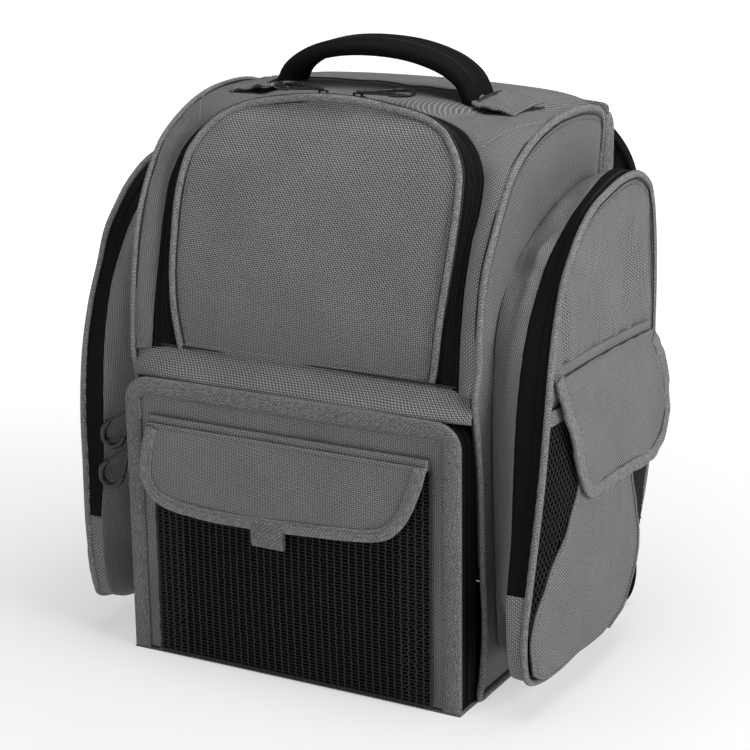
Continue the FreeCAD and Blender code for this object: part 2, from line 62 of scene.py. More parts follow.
class Nodes:
    """Small helper that adds shader nodes to one material and links them."""

    def __init__(self, name):
        self.material = bpy.data.materials.new(name)
        self.material.use_nodes = True
        self.tree = self.material.node_tree
        self.tree.nodes.clear()
        self.shader = self.tree.nodes.new("ShaderNodeBsdfPrincipled")
        output = self.tree.nodes.new("ShaderNodeOutputMaterial")
        self.link(self.shader.outputs[0], output.inputs[0])

    def link(self, source, target):
        self.tree.links.new(source, target)

    def put(self, socket, value):
        if isinstance(value, bpy.types.NodeSocket):
            self.link(value, socket)
        else:
            socket.default_value = value

    def math(self, operation, a, b=0.0, clamp=False):
        node = self.tree.nodes.new("ShaderNodeMath")
        node.operation = operation
        node.use_clamp = clamp
        self.put(node.inputs[0], a)
        self.put(node.inputs[1], b)
        return node.outputs[0]

    def cloth_point(self):
        """Place on the cloth in millimetres, from the piece's own cut pattern."""
        uv = self.tree.nodes.new("ShaderNodeUVMap")
        uv.uv_map = "cloth"
        scale = self.tree.nodes.new("ShaderNodeVectorMath")
        scale.operation = "SCALE"
        scale.inputs["Scale"].default_value = 1000.0
        self.link(uv.outputs[0], scale.inputs[0])
        split = self.tree.nodes.new("ShaderNodeSeparateXYZ")
        self.link(scale.outputs[0], split.inputs[0])
        return scale.outputs[0], split.outputs[0], split.outputs[1]

    def solid_point(self):
        """Place in space in millimetres, for pieces with no cut pattern."""
        coordinates = self.tree.nodes.new("ShaderNodeTexCoord")
        scale = self.tree.nodes.new("ShaderNodeVectorMath")
        scale.operation = "SCALE"
        scale.inputs["Scale"].default_value = 1000.0
        self.link(coordinates.outputs["Object"], scale.inputs[0])
        return scale.outputs[0]

    def stretched(self, vector, scale):
        node = self.tree.nodes.new("ShaderNodeVectorMath")
        node.operation = "MULTIPLY"
        self.link(vector, node.inputs[0])
        node.inputs[1].default_value = scale
        return node.outputs[0]

    def noise(self, vector, scale, detail=2.0, roughness=0.5):
        node = self.tree.nodes.new("ShaderNodeTexNoise")
        self.put(node.inputs["Vector"], vector)
        node.inputs["Scale"].default_value = scale
        node.inputs["Detail"].default_value = detail
        node.inputs["Roughness"].default_value = roughness
        return node.outputs["Fac"]

    def wave(self, place, pitch, shift=0.0):
        """0 to 1 along a direction, once each pitch."""
        turns = self.math("MULTIPLY_ADD", place, 2 * math.pi / pitch)
        turns.node.inputs[2].default_value = shift
        return self.half(self.math("SINE", turns))

    def half(self, value):
        node = self.tree.nodes.new("ShaderNodeMath")
        node.operation = "MULTIPLY_ADD"
        self.link(value, node.inputs[0])
        node.inputs[1].default_value = 0.5
        node.inputs[2].default_value = 0.5
        return node.outputs[0]

    def ramp(self, value, low, high):
        node = self.tree.nodes.new("ShaderNodeMapRange")
        self.link(value, node.inputs["Value"])
        node.inputs["To Min"].default_value = low
        node.inputs["To Max"].default_value = high
        return node.outputs[0]

    def colour(self, rgb, factor):
        """rgb made lighter and darker by a factor that varies over the cloth."""
        node = self.tree.nodes.new("ShaderNodeMix")
        node.data_type = "RGBA"
        node.inputs["Factor"].default_value = 1.0
        node.blend_type = "MULTIPLY"
        node.inputs["A"].default_value = (*rgb, 1.0)
        self.link(factor, node.inputs["B"])
        self.link(node.outputs["Result"], self.shader.inputs["Base Color"])

    def bump(self, height, distance, strength=1.0):
        node = self.tree.nodes.new("ShaderNodeBump")
        node.inputs["Distance"].default_value = distance * MM
        node.inputs["Strength"].default_value = strength
        self.link(height, node.inputs["Height"])
        self.link(node.outputs[0], self.shader.inputs["Normal"])

    def finish(self, roughness, sheen=0.0, specular=0.35):
        self.put(self.shader.inputs["Roughness"], roughness)
        self.shader.inputs["Sheen Weight"].default_value = sheen
        self.shader.inputs["Sheen Roughness"].default_value = 0.4
        self.shader.inputs["Specular IOR Level"].default_value = specular
        return self.material


# ---------------------------------------------------------------- materials

def twill(name, rgb, pitch=1.55, contrast=2.4):
    """Coarse polyester twill: raised diagonal floats, slub in the yarn, soft wear."""
    nodes = Nodes(name)
    point, across, along = nodes.cloth_point()
    weft = nodes.wave(across, pitch)
    warp = nodes.wave(along, pitch)
    diagonal = nodes.wave(nodes.math("ADD", across, along), pitch * 2)
    floats = nodes.math("ADD", nodes.math("MULTIPLY", weft, warp), nodes.math("MULTIPLY", diagonal, 0.45))
    slub = nodes.noise(point, 1.1, 3.0, 0.75)
    blotch = nodes.noise(point, 0.018, 3.0)
    yarn = nodes.math("ADD", nodes.math("MULTIPLY", floats, 0.62), nodes.math("MULTIPLY", slub, 0.65))
    tone = nodes.math("POWER", nodes.ramp(yarn, 0.06, 1.94), contrast)
    cloud = nodes.ramp(blotch, 0.84, 1.16)
    nodes.colour(rgb, nodes.math("MULTIPLY", tone, cloud))
    nodes.bump(floats, 0.35, 0.7)
    return nodes.finish(nodes.ramp(slub, 0.65, 0.88), sheen=0.02, specular=0.12)


def grosgrain(name, rgb, rib=1.1, contrast=4.2):
    """Ribbed tape of mixed light and dark yarn; the ribs run across its length."""
    nodes = Nodes(name)
    point, along, across = nodes.cloth_point()
    ribs = nodes.wave(along, rib)
    chevron = nodes.wave(nodes.math("ADD", along, nodes.math("MULTIPLY", across, 0.8)), 3.1)
    mixed = nodes.noise(point, 0.75, 4.0, 0.8)
    streak = nodes.noise(nodes.stretched(point, (0.16, 0.85, 1.0)), 1.0, 3.0, 0.7)
    yarn = nodes.math("ADD", nodes.math("MULTIPLY", ribs, 0.2), nodes.math("MULTIPLY", chevron, 0.06))
    yarn = nodes.math("ADD", yarn, nodes.math("MULTIPLY", mixed, 0.55))
    yarn = nodes.math("ADD", yarn, nodes.math("MULTIPLY", streak, 0.35))
    wear = nodes.noise(point, 0.03, 3.0)
    tone = nodes.math("POWER", nodes.ramp(yarn, 0.0, 1.72), contrast)
    nodes.colour(rgb, nodes.math("MULTIPLY", tone, nodes.ramp(wear, 0.82, 1.18)))
    nodes.bump(ribs, 0.3, 0.8)
    return nodes.finish(nodes.ramp(mixed, 0.6, 0.85), sheen=0.02, specular=0.14)


def tape(name, rgb, rib=0.9):
    """Close black woven tape with fine ribs along its length and a little lint."""
    nodes = Nodes(name)
    point, along, across = nodes.cloth_point()
    ribs = nodes.wave(across, rib)
    knots = nodes.wave(along, rib * 0.8)
    lint = nodes.noise(point, 0.5, 4.0, 0.75)
    body = nodes.math("ADD", nodes.math("MULTIPLY", ribs, 0.5), nodes.math("MULTIPLY", knots, 0.25))
    nodes.colour(rgb, nodes.ramp(nodes.math("ADD", body, nodes.math("MULTIPLY", lint, 0.4)), 0.4, 2.0))
    nodes.bump(body, 0.2, 0.6)
    return nodes.finish(nodes.ramp(lint, 0.6, 0.8), sheen=0.0, specular=0.07)


def webbing(name, rgb, pitch=3.2):
    """Herringbone webbing: two slanted sets of floats that meet in chevrons."""
    nodes = Nodes(name)
    point, along, across = nodes.cloth_point()
    fold = nodes.math("PINGPONG", across, pitch * 1.6)
    slant = nodes.wave(nodes.math("ADD", along, fold), pitch * 0.5)
    yarn = nodes.noise(point, 0.8, 3.0, 0.7)
    tone = nodes.math("ADD", nodes.math("MULTIPLY", slant, 0.5), nodes.math("MULTIPLY", yarn, 0.5))
    nodes.colour(rgb, nodes.ramp(tone, 0.55, 1.6))
    nodes.bump(slant, 0.3, 0.7)
    return nodes.finish(nodes.ramp(yarn, 0.55, 0.75), sheen=0.0, specular=0.09)


def spacer(name, rgb):
    """Padded spacer mesh: a close grid of small round pits."""
    nodes = Nodes(name)
    point = nodes.solid_point()
    cells = nodes.tree.nodes.new("ShaderNodeTexVoronoi")
    cells.inputs["Scale"].default_value = 0.42
    cells.inputs["Randomness"].default_value = 0.15
    nodes.link(point, cells.inputs["Vector"])
    pit = nodes.ramp(cells.outputs["Distance"], 1.0, 0.0)
    fuzz = nodes.noise(point, 0.6, 3.0, 0.7)
    nodes.colour(rgb, nodes.ramp(nodes.math("MULTIPLY", pit, fuzz), 0.4, 2.4))
    nodes.bump(pit, 0.7, 0.8)
    return nodes.finish(nodes.ramp(fuzz, 0.7, 0.95), sheen=0.1, specular=0.2)


def moulded(name, rgb, roughness=(0.28, 0.42), grain=0.9, specular=0.5):
    """Satin moulded plastic or hard cord with a fine mould grain and light scuffs."""
    nodes = Nodes(name)
    point = nodes.solid_point()
    fine = nodes.noise(point, grain, 4.0, 0.6)
    scuff = nodes.noise(point, 0.12, 5.0, 0.7)
    nodes.colour(rgb, nodes.ramp(nodes.math("MULTIPLY", fine, scuff), 0.7, 1.9))
    nodes.bump(fine, 0.05, 0.5)
    return nodes.finish(nodes.ramp(scuff, *roughness), specular=specular)


def stitch_thread(name, rgb):
    nodes = Nodes(name)
    point = nodes.solid_point()
    twist = nodes.noise(point, 2.5, 2.0)
    nodes.colour(rgb, nodes.ramp(twist, 0.6, 1.4))
    nodes.bump(twist, 0.1, 0.5)
    return nodes.finish(nodes.ramp(twist, 0.5, 0.7), sheen=0.05)


GREY = (0.094, 0.091, 0.092)
MATERIALS = {
    "twill": twill("twill_grey", GREY),
    "twill_fine": twill("twill_grey_fine", (0.076, 0.0735, 0.0745), 1.45, 3.0),
    "grosgrain": grosgrain("grosgrain_light", (0.172, 0.164, 0.171)),
    "grosgrain_dark": grosgrain("grosgrain_dark", (0.142, 0.136, 0.141)),
    "zip_tape": tape("zip_tape_black", (0.0034, 0.0034, 0.0037)),
    "zip_coil": moulded("zip_coil_black", (0.005, 0.005, 0.0055), (0.35, 0.5), 0.9, 0.25),
    "netting": moulded("net_yarn_black", (0.014, 0.014, 0.0148), (0.5, 0.7), 1.4, 0.3),
    "net_backing": tape("net_backing_black", (0.0018, 0.0018, 0.0019), 1.3),
    "webbing": webbing("webbing_black", (0.0048, 0.0049, 0.0056)),
    "spacer_mesh": spacer("spacer_mesh_black", (0.012, 0.012, 0.013)),
    "lining": twill("lining_dark", (0.055, 0.055, 0.058), 1.0, 1.0),
    "moulded_black": moulded("moulded_black", (0.0065, 0.0065, 0.007)),
    "thread_light": stitch_thread("thread_light", (0.30, 0.29, 0.295)),
    "thread_grey": stitch_thread("thread_grey", (0.115, 0.112, 0.114)),
    "thread_black": stitch_thread("thread_black", (0.006, 0.006, 0.0065)),
    # Near-black colour of the seam lines: painted shade in the seam ditches; on the handle the same colour is
    # also a dark stitch thread.
    "seam_dark": stitch_thread("seam_dark", (0.020, 0.019, 0.0195)),
}


# ---------------------------------------------------------------- curves

def spline(points, count, closed=False, even=True):
    """Smooth curve through points. Even spacing, or the same share of each span if not."""
    pts = np.array(points, float)
    if closed:
        pts = np.vstack([pts[-1], pts, pts[0], pts[1]])
    else:
        pts = np.vstack([2 * pts[0] - pts[1], pts, 2 * pts[-1] - pts[-2]])
    spans = len(pts) - 3
    share = np.linspace(0, spans, (count if not even else max(count, spans * 12)) + (1 if closed else 0))
    if closed:
        share = share[:-1]
    index = np.minimum(share.astype(int), spans - 1)
    t = (share - index)[:, None]
    p0, p1, p2, p3 = pts[index], pts[index + 1], pts[index + 2], pts[index + 3]
    curve = 0.5 * (2 * p1 + (p2 - p0) * t + (2 * p0 - 5 * p1 + 4 * p2 - p3) * t ** 2
                   + (3 * p1 - p0 - 3 * p2 + p3) * t ** 3)
    return resample(curve, count, closed) if even else curve


def resample(curve, count, closed=False):
    """The same line with evenly spaced points."""
    line = np.vstack([curve, curve[:1]]) if closed else curve
    steps = np.linalg.norm(np.diff(line, axis=0), axis=1)
    far = np.concatenate([[0], np.cumsum(steps)])
    wanted = np.linspace(0, far[-1], count + (1 if closed else 0))
    result = np.stack([np.interp(wanted, far, line[:, k]) for k in range(line.shape[1])], axis=1)
    return result[:-1] if closed else result


def length_of(line):
    return float(np.linalg.norm(np.diff(line, axis=0), axis=1).sum())


def rounded_path(half, low, high, radius, y, count):
    """Upright path: up one side, round two corners, down the other side."""
    turns = np.linspace(0, math.pi / 2, 9)
    left = [(-half, low)]
    left += [(-half + radius - radius * math.cos(a), high - radius + radius * math.sin(a)) for a in turns]
    right = [(-x, z) for x, z in reversed(left)]
    line = np.array([(x, y, z) for x, z in left + right])
    return resample(line, count)


def crumple(point, size, seed):
    """Smooth noise from -1 to 1 with features about that size."""
    return noise.noise(Vector(point) / size + Vector((seed * 3.7, seed * 1.3, seed * 2.1)))


# ---------------------------------------------------------------- meshes

def make_piece(name, verts, faces, cloth, material, smooth=True):
    """One mesh piece in metres with its cut pattern as a UV map."""
    mesh = bpy.data.meshes.new(name)
    mesh.from_pydata((np.asarray(verts, float) * MM).tolist(), [], faces)
    layer = mesh.uv_layers.new(name="cloth")
    index = np.zeros(len(mesh.loops), int)
    mesh.loops.foreach_get("vertex_index", index)
    layer.data.foreach_set("uv", (np.asarray(cloth, float)[index] * MM).ravel())
    mesh.materials.append(MATERIALS[material])
    mesh.validate()
    mesh.shade_smooth() if smooth else mesh.shade_flat()
    piece = bpy.data.objects.new(name, mesh)
    bpy.context.scene.collection.objects.link(piece)
    return piece


def grid_faces(rows, cols, wrap_rows=False, wrap_cols=False):
    faces = []
    for i in range(rows if wrap_rows else rows - 1):
        for j in range(cols if wrap_cols else cols - 1):
            a, b = i, (i + 1) % rows
            c, d = j, (j + 1) % cols
            faces.append((a * cols + c, b * cols + c, b * cols + d, a * cols + d))
    return faces


def cloth_of(grid, plane=None):
    """Pattern coordinates of a grid: a flat projection, or lengths along its two directions."""
    if plane is not None:
        return grid[..., plane].reshape(-1, 2)
    along = np.zeros(grid.shape[:2])
    along[1:] = np.cumsum(np.linalg.norm(np.diff(grid, axis=0), axis=2), axis=0)
    across = np.zeros(grid.shape[:2])
    across[:, 1:] = np.cumsum(np.linalg.norm(np.diff(grid, axis=1), axis=2), axis=1)
    return np.stack([along, across], axis=2).reshape(-1, 2)


def grid_normals(grid):
    du = np.gradient(grid, axis=0)
    dv = np.gradient(grid, axis=1)
    normals = np.cross(du, dv)
    return normals / np.maximum(np.linalg.norm(normals, axis=2, keepdims=True), 1e-9)


def sheet_piece(name, grid, material, thickness=2.0, plane=None, outward=None, smooth_levels=0):
    """Cloth panel from a grid of points, with a real thickness behind its outer face."""
    grid = np.asarray(grid, float)
    rows, cols = grid.shape[:2]
    if outward is not None:
        middle = grid_normals(grid)[rows // 2, cols // 2]
        if np.dot(middle, outward) < 0:
            grid = grid[:, ::-1]
    piece = make_piece(name, grid.reshape(-1, 3), grid_faces(rows, cols), cloth_of(grid, plane), material)
    if smooth_levels:
        piece.modifiers.new("smooth", "SUBSURF").levels = smooth_levels
        piece.modifiers["smooth"].render_levels = smooth_levels
    solid = piece.modifiers.new("thickness", "SOLIDIFY")
    solid.thickness = thickness * MM
    solid.offset = -1.0
    solid.use_even_offset = False
    return piece


def sweep_grid(path, section, binormal, closed=False):
    """Points of a section carried along a path. binormal is one vector or one for each point."""
    path = np.asarray(path, float)
    if closed:
        tangent = np.roll(path, -1, axis=0) - np.roll(path, 1, axis=0)
    else:
        tangent = np.gradient(path, axis=0)
    tangent /= np.linalg.norm(tangent, axis=1, keepdims=True)
    side = np.broadcast_to(np.asarray(binormal, float), path.shape)
    side = side - (side * tangent).sum(1, keepdims=True) * tangent
    side /= np.linalg.norm(side, axis=1, keepdims=True)
    normal = np.cross(tangent, side)
    section = np.asarray(section, float)
    if section.ndim == 2:
        section = np.broadcast_to(section, (len(path),) + section.shape)
    return (path[:, None] + section[..., 0:1] * normal[:, None] + section[..., 1:2] * side[:, None])


def sweep_piece(name, path, section, binormal, material, closed=False, capped=True):
    """Closed section swept along a path: piping, binding, handle or strap."""
    grid = sweep_grid(path, section, binormal, closed)
    rows, cols = grid.shape[:2]
    faces = grid_faces(rows, cols, wrap_rows=closed, wrap_cols=True)
    line = np.asarray(path, float)
    along = np.concatenate([[0], np.cumsum(np.linalg.norm(np.diff(line, axis=0), axis=1))])
    round_it = np.linalg.norm(np.diff(grid[0], axis=0), axis=1)
    across = np.concatenate([[0], np.cumsum(round_it)])
    cloth = np.stack(np.meshgrid(along, across, indexing="ij"), axis=2).reshape(-1, 2)
    if capped and not closed:
        faces.append(tuple(range(cols))[::-1])
        faces.append(tuple(range((rows - 1) * cols, rows * cols)))
    piece = make_piece(name, grid.reshape(-1, 3), faces, cloth, material)
    face_outward(piece)
    return piece


def face_outward(piece):
    shape = bmesh.new()
    shape.from_mesh(piece.data)
    bmesh.ops.recalc_face_normals(shape, faces=shape.faces)
    shape.to_mesh(piece.data)
    shape.free()


def oval(width, height, count=12):
    turns = np.linspace(0, 2 * math.pi, count, endpoint=False)
    return [(width / 2 * math.cos(a), height / 2 * math.sin(a)) for a in turns]


def flat_section(width, thickness, rounding=None, steps=3):
    """Rounded rectangle section: width along the normal, thickness along the binormal."""
    radius = min(rounding if rounding is not None else thickness / 2, thickness / 2, width / 2)
    points = []
    for cx, cy, start in ((1, 1, 0), (-1, 1, 90), (-1, -1, 180), (1, -1, 270)):
        for step in range(steps + 1):
            angle = math.radians(start + 90 * step / steps)
            points.append((cx * (width / 2 - radius) + radius * math.cos(angle),
                           cy * (thickness / 2 - radius) + radius * math.sin(angle)))
    return points


def join_meshes(name, parts, material):
    """One piece from several lists of (verts, faces, cloth)."""
    verts, faces, cloth = [], [], []
    for part_verts, part_faces, part_cloth in parts:
        base = len(verts)
        verts.extend(part_verts)
        faces.extend(tuple(base + i for i in face) for face in part_faces)
        cloth.extend(part_cloth)
    return make_piece(name, verts, faces, cloth, material)


def stitches(body, thread, path, up, pitch=3.4, length=2.3, radius=0.38, lift=0.15):
    """A row of sewn stitches along a path: one short raised thread after another."""
    path = np.asarray(path, float)
    count = max(int(length_of(path) / pitch), 2)
    line = resample(path, count * 4 + 1)
    ups = np.broadcast_to(np.asarray(up, float), path.shape)
    share = np.linspace(0, len(path) - 1, len(line))
    ups = np.stack([np.interp(share, range(len(path)), ups[:, k]) for k in range(3)], axis=1)
    parts = STITCHES.setdefault((body, thread), [])
    for k in range(count):
        centre = line[4 * k + 2]
        ahead = line[4 * k + 3] - line[4 * k + 1]
        ahead /= np.linalg.norm(ahead)
        above = ups[4 * k + 2] - np.dot(ups[4 * k + 2], ahead) * ahead
        above /= max(np.linalg.norm(above), 1e-9)
        beside = np.cross(ahead, above)
        base = centre + above * lift
        ring = []
        for reach, size in ((-0.5, 0.45), (-0.25, 1.0), (0.25, 1.0), (0.5, 0.45)):
            for a, b in ((1, 0), (0, 1), (-1, 0), (0, -1)):
                ring.append(base + ahead * reach * length + (beside * a + above * b) * radius * size)
        faces = grid_faces(4, 4, wrap_cols=True) + [(3, 2, 1, 0), (12, 13, 14, 15)]
        cloth = [(p[0], p[2]) for p in ring]
        parts.append((ring, faces, cloth))


def painted_seam_shade(body, path, up, width=1.5, height=1.0):
    """A sewn seam: a thin near-black line where two cloths meet, painted shade for the ditch between them."""
    path = np.asarray(path, float)
    grid = sweep_grid(path, oval(width, height, 6), np.broadcast_to(np.asarray(up, float), path.shape))
    rows = len(path)
    flat = grid.reshape(-1, 3)
    faces = grid_faces(rows, 6, wrap_cols=True) + [tuple(range(6))[::-1],
                                                   tuple(range((rows - 1) * 6, rows * 6))]
    STITCHES.setdefault((body, "seam_dark"), []).append((flat, faces, flat[:, [0, 2]]))


def zip_coil(body, name, path, up, pitch=1.6, width=4.6):
    """The closed coil of a zip: small ribs across the tape, all the way along."""
    path = np.asarray(path, float)
    count = int(length_of(path) / pitch)
    line = resample(path, count * 2 + 1)
    ups = np.broadcast_to(np.asarray(up, float), path.shape)
    share = np.linspace(0, len(path) - 1, len(line))
    ups = np.stack([np.interp(share, range(len(path)), ups[:, k]) for k in range(3)], axis=1)
    parts = []
    for k in range(count):
        centre = line[2 * k + 1]
        ahead = line[2 * k + 2] - line[2 * k]
        ahead /= np.linalg.norm(ahead)
        above = ups[2 * k + 1] - np.dot(ups[2 * k + 1], ahead) * ahead
        above /= max(np.linalg.norm(above), 1e-9)
        beside = np.cross(ahead, above)
        lean = 0.22 if k % 2 else -0.22
        ring = []
        for reach, size in ((-0.5, 0.5), (-0.3, 1.0), (0.3, 1.0), (0.5, 0.5)):
            spot = centre + beside * reach * width + ahead * lean * reach
            for a, b in ((1, 0), (0, 1), (-1, 0), (0, -0.6)):
                ring.append(spot + (ahead * a * 0.48 + above * b * 0.75) * size * pitch / 1.6)
        faces = grid_faces(4, 4, wrap_cols=True) + [(3, 2, 1, 0), (12, 13, 14, 15)]
        parts.append((ring, faces, [(p[0], p[2]) for p in ring]))
    piece = join_meshes(name, parts, "zip_coil")
    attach(piece, body)
    return piece


def mirrored(points, sign):
    result = np.array(points, float)
    result[..., 0] *= sign
    return result


def relax_panel(grid, amount, size, seed, edge_fade=2):
    """Light creases over a panel, fading out at its sewn edges."""
    rows, cols = grid.shape[:2]
    normals = grid_normals(grid)
    result = grid.copy()
    for i in range(rows):
        for j in range(cols):
            fade = min(i, j, rows - 1 - i, cols - 1 - j) / edge_fade
            fade = min(fade, 1.0)
            value = crumple(grid[i, j], size, seed) + 0.5 * crumple(grid[i, j], size * 0.45, seed + 5)
            result[i, j] = grid[i, j] + normals[i, j] * amount * fade * value
    return result


def filled_outline(loop, centre, rings, bulge=0.0, power=2.0, direction=(0, 0, 0)):
    """Grid from a closed outline in to a centre, raised in the middle by a bulge."""
    loop = np.asarray(loop, float)
    centre = np.asarray(centre, float)
    layers = []
    for share in np.linspace(1.0, 0.02, rings):
        layer = centre + (loop - centre) * share
        layer = layer + np.asarray(direction, float) * bulge * (1 - share ** power)
        layers.append(layer)
    return np.array(layers)


def disc_piece(name, grid, material, thickness, plane, outward=None):
    """Panel from rings inside a closed outline."""
    rows, cols = grid.shape[:2]
    verts = list(grid.reshape(-1, 3)) + [grid[-1].mean(axis=0)]
    faces = grid_faces(rows, cols, wrap_cols=True)
    last = (rows - 1) * cols
    faces += [(last + j, last + (j + 1) % cols, len(verts) - 1) for j in range(cols)]
    verts = np.array(verts)
    piece = make_piece(name, verts, faces, verts[:, plane], material)
    face_outward(piece)
    if outward is not None:
        total = Vector((0, 0, 0))
        for polygon in piece.data.polygons:
            total += polygon.normal * polygon.area
        if total.dot(Vector(outward)) < 0:
            piece.data.flip_normals()
    solid = piece.modifiers.new("thickness", "SOLIDIFY")
    solid.thickness = thickness * MM
    solid.offset = -1.0
    return piece


# ---------------------------------------------------------------- camera and light

def camera_and_light():
    """Long lens a little above the bag, to the right of its front."""
    azimuth, elevation, roll = math.radians(28.74), math.radians(17.08), math.radians(-0.71)
    distance, aside, above = 1.9386, 0.01395, -0.00782
    look_height = 0.240
    lens_mm, sensor_mm = 110.26, 36.0
    back = Vector((math.sin(azimuth) * math.cos(elevation), -math.cos(azimuth) * math.cos(elevation),
                   math.sin(elevation)))
    right = Vector((math.cos(azimuth), math.sin(azimuth), 0))
    up = back.cross(right)
    turned_right = right * math.cos(roll) + up * math.sin(roll)
    turned_up = -right * math.sin(roll) + up * math.cos(roll)
    target = Vector((0, 0, look_height)) + right * aside + up * above
    data = bpy.data.cameras.new("camera")
    data.sensor_width = sensor_mm
    data.lens = lens_mm
    camera = bpy.data.objects.new("camera", data)
    axes = Matrix((turned_right, turned_up, back)).transposed().to_4x4()
    camera.matrix_world = Matrix.Translation(target + back * distance) @ axes
    bpy.context.scene.collection.objects.link(camera)
    bpy.context.scene.camera = camera

    lights = (
        ("key", (2.3, -0.4, 1.35), (0, 0, 0.25), 1.1, 38),
        ("front", (0.1, -2.4, 1.7), (0, 0, 0.35), 1.0, 5),
        ("top", (0.2, 0.1, 2.3), (0, 0, 0.2), 1.4, 30),
        ("left", (-2.2, -1.2, 1.3), (0, 0, 0.3), 1.2, 2),
    )
    for name, place, aim, size, power in lights:
        lamp = bpy.data.lights.new(name, "AREA")
        lamp.size = size
        lamp.energy = power
        item = bpy.data.objects.new(name, lamp)
        item.location = place
        item.rotation_euler = (Vector(aim) - Vector(place)).to_track_quat("-Z", "Y").to_euler()
        bpy.context.scene.collection.objects.link(item)

    world_strength = 0.16
    world = bpy.data.worlds.new("studio")
    bpy.context.scene.world = world
    world.use_nodes = True
    world.node_tree.nodes["Background"].inputs[0].default_value = (1, 1, 1, 1)
    world.node_tree.nodes["Background"].inputs[1].default_value = world_strength
    bpy.context.scene.view_settings.view_transform = "Standard"

    # The floor glows more with distance, in mm from the bag, so that it fades into the white world.
    glow_from, glow_to = 300.0, 1500.0
    reach = 8.0
    mesh = bpy.data.meshes.new("floor")
    mesh.from_pydata([(-reach, -reach, 0), (reach, -reach, 0), (reach, reach, 0), (-reach, reach, 0)],
                     [], [(0, 1, 2, 3)])
    floor = bpy.data.objects.new("floor", mesh)
    bpy.context.scene.collection.objects.link(floor)
    nodes = Nodes("floor_pale")
    nodes.shader.inputs["Base Color"].default_value = (0.42, 0.42, 0.42, 1)
    nodes.shader.inputs["Emission Color"].default_value = (1, 1, 1, 1)
    away = nodes.tree.nodes.new("ShaderNodeVectorMath")
    away.operation = "LENGTH"
    nodes.link(nodes.solid_point(), away.inputs[0])
    glow = nodes.ramp(away.outputs["Value"], 0.52, 1.02)
    glow.node.inputs["From Min"].default_value = glow_from
    glow.node.inputs["From Max"].default_value = glow_to
    nodes.link(glow, nodes.shader.inputs["Emission Strength"])
    mesh.materials.append(nodes.finish(0.9))


# ---------------------------------------------------------------- body outlines

# The outlines in this script were fitted, in millimetres, to the edges that the photo shows.

# Right half, from the seam above the door up and over to the centre plane.
LID_EDGE = [(116.5, -91, 264), (119.5, -91, 280), (122, -91.5, 300), (123.8, -89.5, 320),
            (125.4, -85.5, 340), (126.5, -80, 360), (127.2, -74.6, 380), (127, -67.5, 400),
            (124.8, -58.6, 420), (121.4, -52.5, 430), (115.4, -46.6, 440), (106, -40, 450),
            (98, -34.5, 455.5), (82, -29.5, 462), (62, -28.5, 466.5), (32, -28.5, 471), (0, -29, 473)]
BAND_EDGE = [(143, -97, 263), (142.4, -94.5, 280), (141.8, -92, 300), (141.3, -87.8, 320), (141, -83.1, 340),
             (141.4, -77.5, 360), (142, -70.5, 380), (143.1, -59.8, 400), (140, -47, 420), (135.5, -40, 430),
             (127.5, -32, 440), (115, -24, 450), (105, -19.5, 455), (86, -15, 460.5), (64, -12.5, 464.5),
             (32, -11, 468), (0, -10.5, 469.5)]
# Seam of the side panel with the front and top cloth, and the place on the band's edge it faces.
BODY_SIDE = [((159, -100.5, 262), 0), ((160.3, -96.5, 280), 1), ((160.2, -95.5, 300), 2),
             ((160, -93.5, 320), 3), ((160, -90, 340), 4), ((160.3, -85, 360), 5), ((161.5, -75, 381), 6),
             ((162, -61, 403.5), 7.2), ((162, -48, 420.6), 8), ((162, -34.8, 431.8), 9),
             ((162, -12, 443.5), 10), ((162.5, 14.8, 452.5), 11), ((163, 45, 457.3), 11.7),
             ((163.5, 79.5, 457.8), 12.2), ((164, 105, 455), 12.6), ((164.5, 121, 450.5), 12.9)]
BODY_BACK = [((165, 133, 447), 13.1), ((162, 140.5, 446.5), 13.3), ((150, 141, 452), 13.6),
             ((120, 141, 459.5), 14.2), ((64, 141, 463), 15), ((0, 141, 464), 16)]

# Piping of the side panel, all the way round, right side.
SIDE_BACK = [(164.8, 127.5, 444), (163.5, 129.5, 425), (161.5, 130, 400), (160, 130, 330), (159, 130, 250),
             (158, 130, 100), (157, 129, 14)]
SIDE_LOOP = ([(157.5, -88.5, 3), (158, -85, 22), (158, -80, 60), (158, -83.5, 105), (158, -86, 150),
              (158, -88.5, 195), (158.2, -96, 237)] + [point for point, _ in BODY_SIDE] + SIDE_BACK
             + [(156.5, 120, 3), (157, 40, 2.5), (157, -70, 2.5)])


def whole_arch(half):
    """Right half mirrored into the full arch, from the right foot over to the left foot."""
    right = [tuple(point) for point in half]
    left = [(-x, y, z) for x, y, z in reversed(right[:-1])]
    return right + left


def arch_curve(half, per_span=7):
    points = whole_arch(half)
    return spline(points, (len(points) - 1) * per_span + 1, even=False)


def arch_curve_at(half, places):
    """The whole arch at given places along its right half, in spans, mirrored to the left."""
    places = np.asarray(places, float)
    fine = arch_curve(half, 20)
    spans = (len(half) - 1) * 2
    stops = np.concatenate([places, spans - places[-2::-1]])
    index = stops * 20
    return np.stack([np.interp(index, np.arange(len(fine)), fine[:, k]) for k in range(3)], axis=1)


def ruled(first, second, steps, bow=0.0, direction=None):
    """Surface between two matched curves, bowed out along its normal."""
    shares = np.linspace(0, 1, steps)
    grid = np.array([[a + (b - a) * t for t in shares] for a, b in zip(first, second)])
    if bow:
        normals = grid_normals(grid)
        if direction is not None:
            middle = normals[len(first) // 2, steps // 2]
            if np.dot(middle, direction) < 0:
                normals = -normals
        grid = grid + normals * (bow * 4 * shares * (1 - shares))[None, :, None]
    return grid


# ---------------------------------------------------------------- upper body

